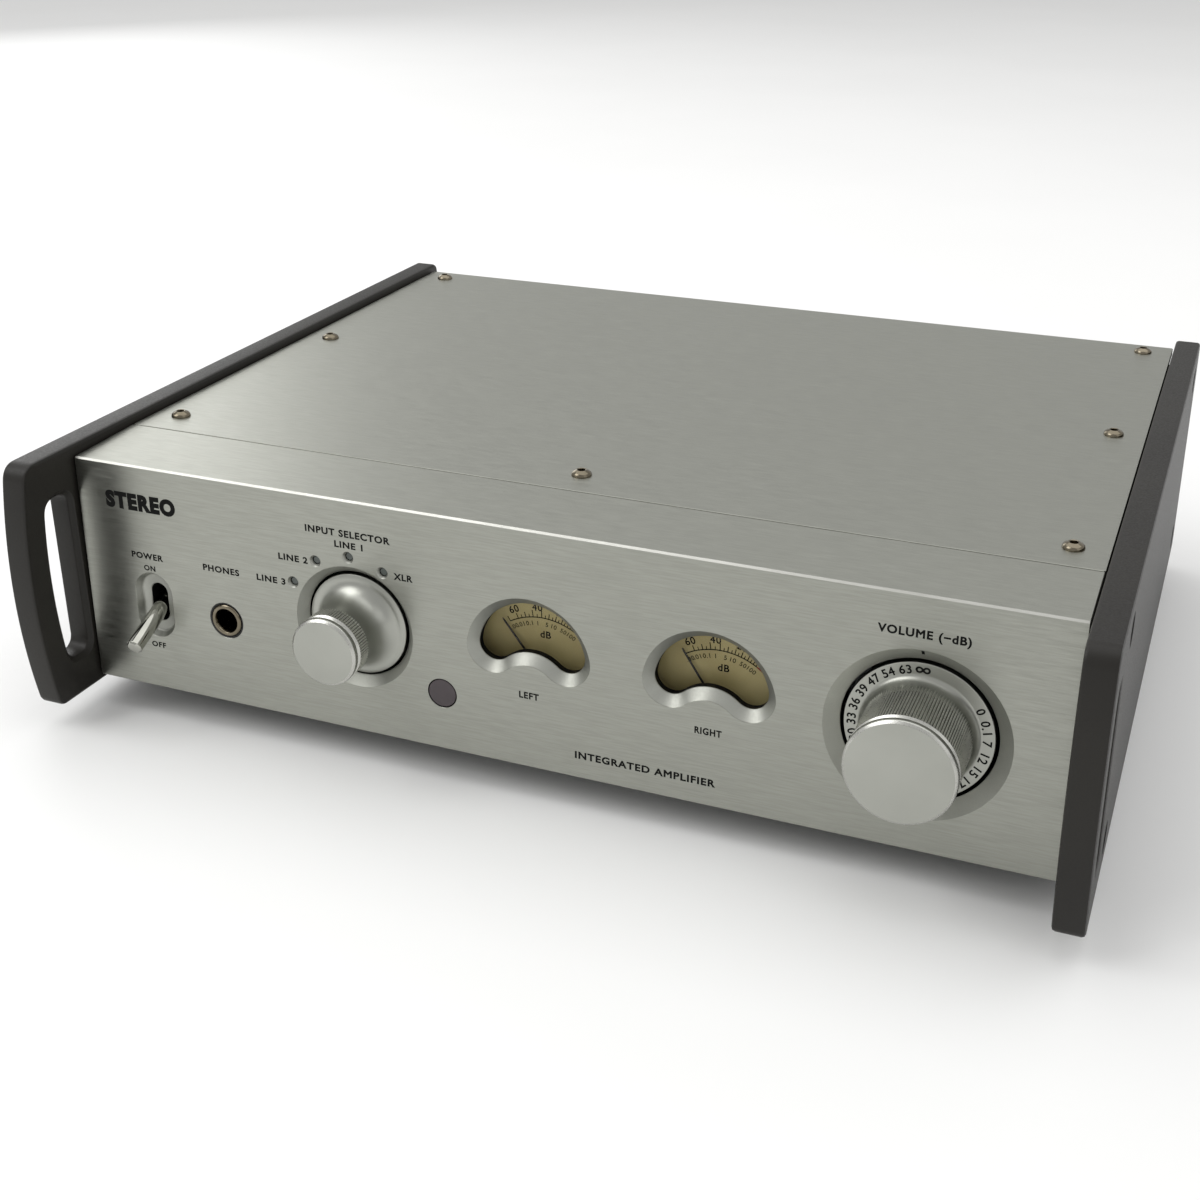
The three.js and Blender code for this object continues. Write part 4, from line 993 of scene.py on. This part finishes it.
def addStroke(shape, points, width, which=0):  # a printed line of constant width along a path in (x, z)
    front = dialPrint["level"]
    back = front + dialPrint["thickness"]
    sides = []
    for k, (x, z) in enumerate(points):
        before, after = points[max(k - 1, 0)], points[min(k + 1, len(points) - 1)]
        along = (Vector(after) - Vector(before)).normalized()
        across = Vector((-along.y, along.x)) * width / 2
        sides.append(((x + across.x, z + across.y), (x - across.x, z - across.y)))
    rings = []
    for (ax, az), (bx, bz) in sides:
        rings.append(addRing(shape, [(ax, front, az), (bx, front, bz), (bx, back, bz), (ax, back, az)]))
    for a, b in zip(rings, rings[1:]):
        bridge(shape, a, b, which)
    addFace(shape, rings[0], which)
    addFace(shape, rings[-1][::-1], which)


def makeDialPrint(side):
    x, radius = meters[side]["x"], dialPrint["radius"]
    steps, redFrom = 28, dialPrint["redFrom"]
    span = [dialPrint["from"] + (redFrom - dialPrint["from"]) * k / steps for k in range(steps + 1)]
    shape = newShape()
    addStroke(shape, [onDial(x, radius, a) for a in span], dialPrint["line"])
    addStroke(shape, [onDial(x, radius, redFrom + k * 2) for k in range(6)], dialPrint["red"], 1)
    ticks = {(-31.5, -23, -15.5, 6, 12.2, 17.8, 23.5, 29): (1.5, 0.26), (-8.5, -0.5): (2.0, 0.26),
             (-19.2, -12, -4.6, 2.8, 9.4, 15, 20.6, 26.3, 31.6): (0.9, 0.22)}
    for angles, (length, width) in ticks.items():
        for a in angles:
            addStroke(shape, [onDial(x, radius, a), onDial(x, radius + length, a)], width)
    for a in (35, 38.5, 42):
        addStroke(shape, [onDial(x, radius, a), onDial(x, radius + 1.2, a)], 0.3, 1)
    pivot = (x, axisZ - dialPrint["drop"])
    for text, a in dialPrint["figures"].items():
        addText(shape, text, pivot[0], pivot[1] + radius + 2.8, 1.9, y=dialPrint["level"], about=pivot,
                turn=-math.radians(a), which=1 if text == "0" else 0, bold=0.015)
    for text, a in dialPrint["watts"].items():
        addText(shape, text, pivot[0], pivot[1] + radius - 1.7, 1.2, y=dialPrint["level"], about=pivot,
                turn=-math.radians(a), bold=0.01)
    addText(shape, "dB", x + 0.9, axisZ + 3.2, 1.9, y=dialPrint["level"], width=3.0)
    showShape("meter_dial_print_" + side, shape, ["screenInk", "redInk"], "casing", sharp=20)


def makeNeedle(side):
    tilt = Matrix.Rotation(-math.radians(needle["tilt"][side]), 3, "Y")
    root, tip = (w / 2 for w in needle["width"])
    front, back, length = needle["front"], needle["back"], needle["length"]
    shape = newShape()
    loops = []
    for z, w in ((-4.0, 0.55), (-0.5, 0.55), (0.5, root), (length - 0.8, tip), (length, 0.05)):
        loops.append([(-w, front, z), (w, front, z), (w, back, z), (-w, back, z)])
    first, last = chain(shape, loops)
    addFace(shape, first[::-1])
    addFace(shape, last)
    hub = rounded([(0, 8.2, 0, 0), (1.2, 8.2, 0.3, 0), (needle["hub"], 8.4, 0.2, 0), (needle["hub"], 9, 0, 0),
                   (0.8, 9.05, 0, 0), (0.8, 12.6, 0, 0), (0, 12.6, 0, 0)])
    turned(shape, hub, 0, 0, "y", 32)
    pivot = Vector((meters[side]["x"], 0, axisZ - needle["pivotDrop"]))
    shape["points"] = [tuple(tilt @ Vector(p) + pivot) for p in shape["points"]]
    showShape("meter_needle_lacquered_" + side, shape, ["needleLacquer"], "meter_needle_" + side,
              ["meter_needle_" + side])


for side in ("left", "right"):
    makeDialPrint(side)
    makeNeedle(side)
print("meters made")


# Front lettering

def makeLettering():
    labels = [  # text, left, right, middle height, letter height
        ("POWER", -120.8, -110.3, 51.2, 1.7), ("ON", -117.1, -113.3, 47.6, 1.5),
        ("OFF", -117.3, -112.5, 23.8, 1.5), ("PHONES", -97.1, -85.4, 51.2, 1.7),
        ("INPUT SELECTOR", -63.3, -37.9, 68.4, 1.8), ("LINE 1", -54.6, -46.1, 65.2, 1.7),
        ("LINE 2", -72.3, -63.2, 58.7, 1.7), ("LINE 3", -79.8, -70.7, 51.2, 1.7),
        ("XLR", -37.3, -31.7, 58.7, 1.7), ("LEFT", -1.9, 3.7, 31.3, 1.75), ("RIGHT", 46.1, 53.2, 31.3, 1.75),
        ("INTEGRATED AMPLIFIER", 13.7, 51.9, 16.8, 1.9), ("VOLUME (−dB)", 90.0, 111.7, 68.1, 2.0)]
    shape = newShape()
    for text, left, right, z, height in labels:
        addText(shape, text, (left + right) / 2, z, height, right - left, bold=0.036, spacing=1.14)
    addText(shape, "STEREO", -116, 67.1, 4.2, 23.0, bold=0.07, spacing=1.16)
    mark = {"halfWidth": 0.35, "low": 62.4, "high": 63.7}  # the index above the volume knob, on the bevel
    x, low, high, w = volume["x"], mark["low"], mark["high"], mark["halfWidth"]
    bevelWidth = volume["rim"] - volume["hole"]
    deep = [(volume["rim"] - (z - axisZ)) * volume["bevel"] / bevelWidth for z in (low, high)]
    corners = [(x - w, deep[0], low), (x + w, deep[0], low), (x + w, deep[1], high), (x - w, deep[1], high)]
    front = addRing(shape, [(a, b - 0.05, c + 0.03) for a, b, c in corners])
    back = addRing(shape, [(a, b + 0.05, c - 0.03) for a, b, c in corners])
    bridge(shape, front, back)
    addFace(shape, front)
    addFace(shape, back[::-1])
    showShape("front_lettering", shape, ["screenInk"], "casing", sharp=20)


makeLettering()
print("lettering made")


# Rear sockets

backY = boxOf("rear_panel")[1][1]
terminals = {"stud": 2.4, "studEnd": 20, "pitch": 1.15, "turns": 14, "collar": 7.6,
             "colours": ("redNylon", "glossNylon", "redNylon", "glossNylon")}
terminalCap = {"radius": 6.75, "foot": 6.1, "band": 6.2, "end": 5.4, "bore": 2.05, "boreDepth": 4.5,
               "knurl": {"count": 30, "radius": 6.75, "rib": 0.62, "sides": 8}}


def makeTerminals():
    low, high = boxOf("speaker_terminal_block")
    xs = [middle("speaker_cap_%d" % i)[0] for i in range(1, 5)]
    z = middle("speaker_cap_1")[2]
    shape = newShape()
    steps = [(0, backY + 0.2), (0, backY + 1.2), (0.12, backY + 1.48), (0.4, backY + 1.6)]
    halfX, halfZ = (high[0] - low[0]) / 2, (high[2] - low[2]) / 2
    plate(shape, plateLoops(halfX, halfZ, 2.5, (low[0] + high[0]) / 2, z, steps))
    for x in xs:
        collar = rounded([(0, backY + 1.4, 0, 0), (terminals["collar"], backY + 1.4, 0, 0),
                          (terminals["collar"], backY + 3.6, 0.5, 0), (4.4, backY + 3.6, 0.3, 0),
                          (4.2, backY + 3.2, 0.2, 0), (0, backY + 3.2, 0, 0)])
        turned(shape, collar, x, z, "y", 48)
        thread = [(0, backY + 3.1, 1), (terminals["stud"] - 0.1, backY + 3.1, 1)]
        for k in range(terminals["turns"]):
            y = backY + 3.3 + k * terminals["pitch"]
            thread += [(terminals["stud"] - 0.25, y, 1), (terminals["stud"], y + 0.5, 1)]
        studEnd = backY + terminals["studEnd"]
        thread += [(terminals["stud"] - 0.5, studEnd, 1), (0, studEnd, 1)]
        turned(shape, thread, x, z, "y", 24)
    showShape("speaker_terminal_strip", shape, ["mouldedAbs", "goldPlate"], "casing",
              ["speaker_terminal_block"], evened=True)
    for i, x in enumerate(xs, 1):
        makeTerminalCap(i, x, z)


def makeTerminalCap(i, x, z):
    low, high = boxOf("speaker_cap_%d" % i)
    front, end, c = low[1], high[1], terminalCap
    bore, radius, band, floor = terminals["stud"] + 0.25, c["radius"], c["band"], end - c["boreDepth"]
    colour = terminals["colours"][i - 1]
    profile = rounded([(bore, front, 0, 0), (c["foot"], front, 0.3, 0), (radius, front + 0.8, 0.3, 0),
                       (radius, end - 3.4, 0.2, 0), (band, end - 3.0, 0.2, 1), (band, end - 1.8, 0.15, 1),
                       (band, end - 0.9, 0.5, 0), (c["end"], end, 0.3, 0), (c["bore"], end, 0.2, 2),
                       (c["bore"], floor, 0, 2), (bore, floor, 0, 2)])
    shape = newShape()
    turned(shape, profile, x, z, "y", 64, closed=True)
    body = "speaker_cap_%d" % i
    showShape("speaker_cap_moulded_%d" % i, shape, ["glossNylon", colour, "goldPlate"], body,
              ["speaker_cap_%d" % i])
    knurl("speaker_cap_grip_%d" % i, c["knurl"], (x, z), (front + 1.1, end - 3.6), "glossNylon", body)
    low, high = boxOf("speaker_washer_%d" % i)
    ring = rounded([(bore, low[1], 0, 0), (6.2, low[1], 0.2, 0), (6.2, high[1], 0.2, 0), (bore, high[1], 0, 0)])
    shape = newShape()
    turned(shape, ring, x, z, "y", 48, closed=True)
    showShape("speaker_washer_plated_%d" % i, shape, ["goldPlate"], "speaker_washer_%d" % i,
              ["speaker_washer_%d" % i])


balancedSocket = {"halfX": 13, "halfZ": 15.5, "corner": 2.2, "well": 9.7, "barrel": 9.6, "depth": 13,
                  "core": 7, "contacts": (210, 330, 90), "contactRadius": 4, "contact": 1.35}


def makeBalancedSockets():
    b = balancedSocket
    for i in (1, 2):
        low, high = boxOf("xlr_socket_%d" % i)
        x, z = middle("xlr_latch_%d" % i)[0], (low[2] + high[2]) / 2
        y = backY
        shape = newShape()
        steps = [(0, y + 0.2), (0, y + 1.8), (0.12, y + 2.08), (0.4, y + 2.2)]
        loops = plateLoops(b["halfX"], b["halfZ"], b["corner"], x, z, steps, 5)
        well = [(b["well"], y + 0.2), (b["well"], y + 2.0), (b["well"] + 0.15, y + 2.2)]
        latchZ = middle("xlr_latch_%d" % i)[2]
        left, right, low, high = x - 3.4, x + 3.4, latchZ - 1.8, latchZ + 1.95
        mouth = [(left, low), (right, low), (right, high), (left, high)]
        # the latch mouth's walls and the barrel take finish 1, and the contacts' mouths finish 4: near-black
        # painted shade
        holes = [([circle(r, x, z, d, sides=64) for r, d in well], 0)]
        holes.append(([[(a, d, b) for a, b in mouth] for d in (y + 0.2, y + 2.2)], 1))
        plate(shape, loops, holes)
        outer, inner, floor = b["barrel"] + 0.35, b["barrel"], y - b["depth"]
        shell = [(0, floor - 3, 1), (outer, floor - 3, 1), (outer, y + 0.1, 1), (inner, y + 0.1, 1),
                 (inner, floor, 1), (0, floor, 1)]
        turned(shape, shell, x, z, "y", 64)
        core = rounded([(0, floor - 0.2, 0, 2), (b["core"], floor - 0.2, 0, 2), (b["core"], y + 1, 0.5, 2),
                        (0, y + 1, 0, 2)])
        turned(shape, core, x, z, "y", 48)
        contact = [(0, y + 1.04, 4), (0.9, y + 1.04, 3), (b["contact"], y + 1.08, 3), (b["contact"], y - 2, 3),
                   (0, y - 2, 3)]
        for a in (math.radians(degrees) for degrees in b["contacts"]):
            px, pz = x + b["contactRadius"] * math.cos(a), z - 1 + b["contactRadius"] * math.sin(a)
            turned(shape, contact, px, pz, "y", 20)
        showShape("xlr_socket_plated_%d" % i, shape, ["zincSteel", "blackAnodisedAndPaintedShade", "mouldedAbs", "goldPlate",
                  "blackAnodisedAndPaintedShade"], "casing", ["xlr_socket_%d" % i], evened=True)
        makeLatch(i)


def makeLatch(i):
    low, high = boxOf("xlr_latch_%d" % i)
    shape = newShape()
    x, z = (low[0] + high[0]) / 2, (low[2] + high[2]) / 2
    steps = [(0, low[1]), (0, high[1] - 0.5), (0.15, high[1] - 0.15), (0.5, high[1])]
    halfX, halfZ = (high[0] - low[0]) / 2, (high[2] - low[2]) / 2
    plate(shape, plateLoops(halfX, halfZ, 0.8, x, z, steps, 4, 0.6))
    showShape("xlr_latch_polished_%d" % i, shape, ["nickelPlate"], "xlr_latch_%d" % i,
              ["xlr_latch_%d" % i], evened=True)


lineSockets = {"xs": (34, 48, 62), "zs": (35, 52), "collar": 5.6, "barrel": 4.15, "inside": 3.55, "bore": 1.65,
               "length": 9.5}


def makeLineSockets():
    y = backY
    collar, outer, inner, bore = (lineSockets[key] for key in ("collar", "barrel", "inside", "bore"))
    end = y + lineSockets["length"]
    barrel = rounded([(inner, y + 1.2, 0, 0), (outer, y + 1.2, 0, 0), (outer, end, 0.35, 0),
                      (inner, end, 0.2, 0)])
    core = rounded([(bore, y + 2, 0, 3), (inner, y + 2, 0, 3), (inner, end - 0.3, 0.2, 3),
                    (bore, end - 0.3, 0.3, 3)])
    contact = [(0, y + 1.5, 0), (bore, y + 1.5, 0), (bore, y + 3.2, 0), (0, y + 3.2, 0)]
    shape = newShape()
    for x in lineSockets["xs"]:
        for z, colour in zip(lineSockets["zs"], (1, 2)):
            base = rounded([(0, y + 0.05, 0, colour), (collar, y + 0.05, 0, colour),
                            (collar, y + 1.4, 0.3, colour), (outer, y + 1.4, 0, colour), (0, y + 1.4, 0, 0)])
            turned(shape, base, x, z, "y", 40)
            turned(shape, barrel, x, z, "y", 40, closed=True)
            turned(shape, core, x, z, "y", 32, closed=True)
            turned(shape, contact, x, z, "y", 24)
    low, high = boxOf("line_socket_block")
    halfX, halfZ = (high[0] - low[0]) / 2, (high[2] - low[2]) / 2
    steps = [(0, low[1]), (0, boxOf("rear_panel")[0][1] - 0.3)]
    body = plateLoops(halfX, halfZ, 1, (low[0] + high[0]) / 2, (low[2] + high[2]) / 2, steps, 2)
    plate(shape, body, whiches=3, ends=(3, 3))
    showShape("line_sockets_gilt", shape, ["goldPlate", "redNylon", "whiteNylon", "mouldedAbs"], "casing",
              ["line_socket_block"])


mainsInlet = {"plate": (25, 13.5), "mouth": (12.2, 8.2), "cut": 4, "wall": 1.3, "depth": 15,
              "pins": ((-7, -2), (7, -2), (0, 3))}  # half sizes of the plate and of its mouth


def makeMainsInlet():
    m = mainsInlet
    x, _, z = middle("mains_inlet")
    y, floor = backY, backY - m["depth"]
    halfX, halfZ = m["mouth"]
    mouth = [(-halfX, -halfZ), (halfX, -halfZ), (halfX, halfZ - m["cut"]), (halfX - m["cut"], halfZ),
             (m["cut"] - halfX, halfZ), (-halfX, halfZ - m["cut"])]

    def mouthLoops(steps):
        return [[(x + a, level, z + b) for a, b in insetLoop(mouth, inset)] for inset, level in steps]

    shape = newShape()
    steps = [(0.5, y + 2.4), (0.15, y + 2.25), (0, y + 1.9), (0, y + 0.2)]
    plate(shape, plateLoops(*m["plate"], 4, x, z, steps),
          [(mouthLoops([(-0.6, y + 2.4), (0, y + 1.8), (0, y + 0.2)]), 0)])
    outer = [addRing(shape, loop) for loop in mouthLoops([(-m["wall"], y + 0.2), (-m["wall"], floor - 1.5)])]
    inner = [addRing(shape, loop) for loop in mouthLoops([(0, floor), (0, y + 0.2)])]
    for a, b in (outer, inner, (inner[1], outer[0])):
        bridge(shape, a, b)
    fillFlat(shape, [outer[1]])
    fillFlat(shape, [inner[0]])
    steps = ((0, floor + 0.05), (0, y - 2.8), (0.3, y - 2.0))
    for dx, dz in m["pins"]:
        plate(shape, plateLoops(1, 2, 0.35, x + dx, z + dz, steps, 3, 0), whiches=1, ends=(1, 1))
    showShape("mains_inlet_moulded", shape, ["mouldedAbs", "nickelPlate"], "casing",
              ["mains_inlet"], evened=True)


def makeRearScrews():
    low, high = boxOf("rear_panel")
    x0, z0 = middle("mains_inlet")[0], middle("mains_inlet")[2]
    points = [(x0 - 20, backY + 2.4, z0), (x0 + 20, backY + 2.4, z0)]
    for i in (1, 2):
        x, _, z = middle("xlr_socket_%d" % i)
        points += [(x - 10, backY + 2.2, z + 12.5), (x + 10, backY + 2.2, z - 12.5)]
    points += [(x, backY, z) for x in (low[0] + 8, high[0] - 8) for z in (low[2] + 5, high[2] - 4)]
    points += [(x, backY, z) for x in (-30, 30) for z in (low[2] + 5, high[2] - 4)]
    source = buttonScrew(radius=2.6, height=1.4, socket=0.95, shank=1.3)
    copies("rear_screws", source, points, "blackEnamel", "casing", "chassis_steel", turn=(-math.pi / 2, 0, 0),
           spin=math.pi, seed=3)


def makeRearLettering():
    shape = newShape()
    labels = [("SPEAKERS", -19.5, 61.5, 2.0, 17), ("R", -42.5, 26.5, 2.0, None), ("L", 3.5, 26.5, 2.0, None),
              ("LINE IN", 48, 64.5, 2.0, 12), ("1", 34, 26, 1.6, None), ("2", 48, 26, 1.6, None),
              ("3", 62, 26, 1.6, None), ("XLR IN", 97, 64.5, 2.0, 11), ("R", 82, 24.5, 1.8, None),
              ("L", 112, 24.5, 1.8, None), ("AC IN", -108, 62.5, 2.0, 9)]
    for text, x, z, height, width in labels:
        addText(shape, text, -x, z, height, width, y=-backY, bold=0.004)
    for text, x, z in (("+", -52, 59), ("−", -33, 59), ("+", -6, 59), ("−", 13, 59)):
        addText(shape, text, -x, z, 1.6, None, y=-backY - 1.6, bold=0.01)
    shape["points"] = [(-x, -y, z) for x, y, z in shape["points"]]
    showShape("rear_lettering", shape, ["whiteInk"], "casing", sharp=20)


makeTerminals()
makeBalancedSockets()
makeLineSockets()
makeMainsInlet()
makeRearScrews()
makeRearLettering()
print("rear made")


# Finishes of the CAD parts that show as they are

carried = {
    "bottom_chassis": "blackEnamel", "rear_panel": "blackEnamel", "volume_shaft": "zincSteel",
    "selector_shaft": "zincSteel", "volume_potentiometer": "zincSteel", "volume_motor": "zincSteel",
    "selector_encoder": "zincSteel", "power_switch": "mouldedAbs", "meter_case_left": "mouldedAbs",
    "meter_case_right": "mouldedAbs", "meter_dial_left": "printedCard", "meter_dial_right": "printedCard",
    "meter_window_left": "clearAcrylic", "meter_window_right": "clearAcrylic",
    "indicator_light_guide": "smokedAcrylic", "front_board": "solderMask", "power_supply_board": "solderMask",
    "amplifier_board": "solderMask", "input_board": "solderMask", "heat_sink": "blackAnodisedAndPaintedShade",
    "transformer": "windingTape", "transformer_clamp": "zincSteel",
}
for node, material in carried.items():
    cad[node].data.materials.clear()
    cad[node].data.materials.append(finish[material])
print("carried parts finished:", len(carried))


# Stage, light and camera

def makeFloor():
    half = 8.0  # metres, far enough for its edge to stay out of the picture
    mesh = bpy.data.meshes.new("studioFloor")
    corners = [(-half, -half, 0), (half, -half, 0), (half, half, 0), (-half, half, 0)]
    mesh.from_pydata(corners, [], [(0, 1, 2, 3)])
    mesh.materials.append(finish["paleFloor"])
    floor = bpy.data.objects.new("studioFloor", mesh)
    bpy.context.scene.collection.objects.link(floor)


def makeWorld(strength):
    world = bpy.data.worlds.new("softStudio")
    bpy.context.scene.world = world
    world.use_nodes = True
    tree = world.node_tree
    tree.nodes.clear()
    sky = addNode(tree, "ShaderNodeBackground", inputs={"Color": linearColour("#FFFFFF"), "Strength": strength})
    addNode(tree, "ShaderNodeOutputWorld", inputs={"Surface": sky.outputs[0]})


def makeLight(name, place, target, size, power):
    light = bpy.data.lights.new(name, "AREA")
    light.shape = "RECTANGLE"
    light.size, light.size_y = size
    light.energy = power
    lamp = bpy.data.objects.new(name, light)
    bpy.context.scene.collection.objects.link(lamp)
    lamp.location = place
    lamp.rotation_euler = (Vector(target) - Vector(place)).to_track_quat("-Z", "Y").to_euler()


def makeCamera():
    sizes = {"place": (160.65, -343.61, 240.91), "forward": (-0.35641, 0.85466, -0.37753),
             "up": (-0.14141, 0.35006, 0.92599), "lens": 49.875, "sensor": 36.0, "shift": (0.01096, -0.0852)}
    view = bpy.data.cameras.new("camera")
    view.lens, view.sensor_width = sizes["lens"], sizes["sensor"]
    view.sensor_fit = "HORIZONTAL"
    view.shift_x, view.shift_y = sizes["shift"]
    view.clip_start = 0.01
    camera = bpy.data.objects.new("camera", view)
    bpy.context.scene.collection.objects.link(camera)
    forward, up = Vector(sizes["forward"]).normalized(), Vector(sizes["up"]).normalized()
    right = forward.cross(up).normalized()
    up = right.cross(forward)
    turn = Matrix((right, up, -forward)).transposed()
    camera.matrix_world = Matrix.Translation(inFrame(sizes["place"])) @ turn.to_4x4()
    bpy.context.scene.camera = camera


bpy.context.scene.view_settings.view_transform = "Standard"
makeFloor()
makeWorld(0.62)
makeLight("keyLight", (-0.9, -0.7, 1.1), (0, 0, 0.04), (0.9, 0.9), 7.5)
makeLight("overheadLight", (0.0, 0.15, 1.5), (0, 0.0, 0.05), (2.6, 1.6), 13)
makeLight("fillLight", (1.3, -0.6, 0.7), (0, 0, 0.04), (0.9, 0.9), 1.2)
makeLight("glowLight", (-1.25, 1.0, 0.65), (-0.1, 0, 0.08), (0.7, 0.9), 3.4)
makeCamera()
print("stage and camera made")
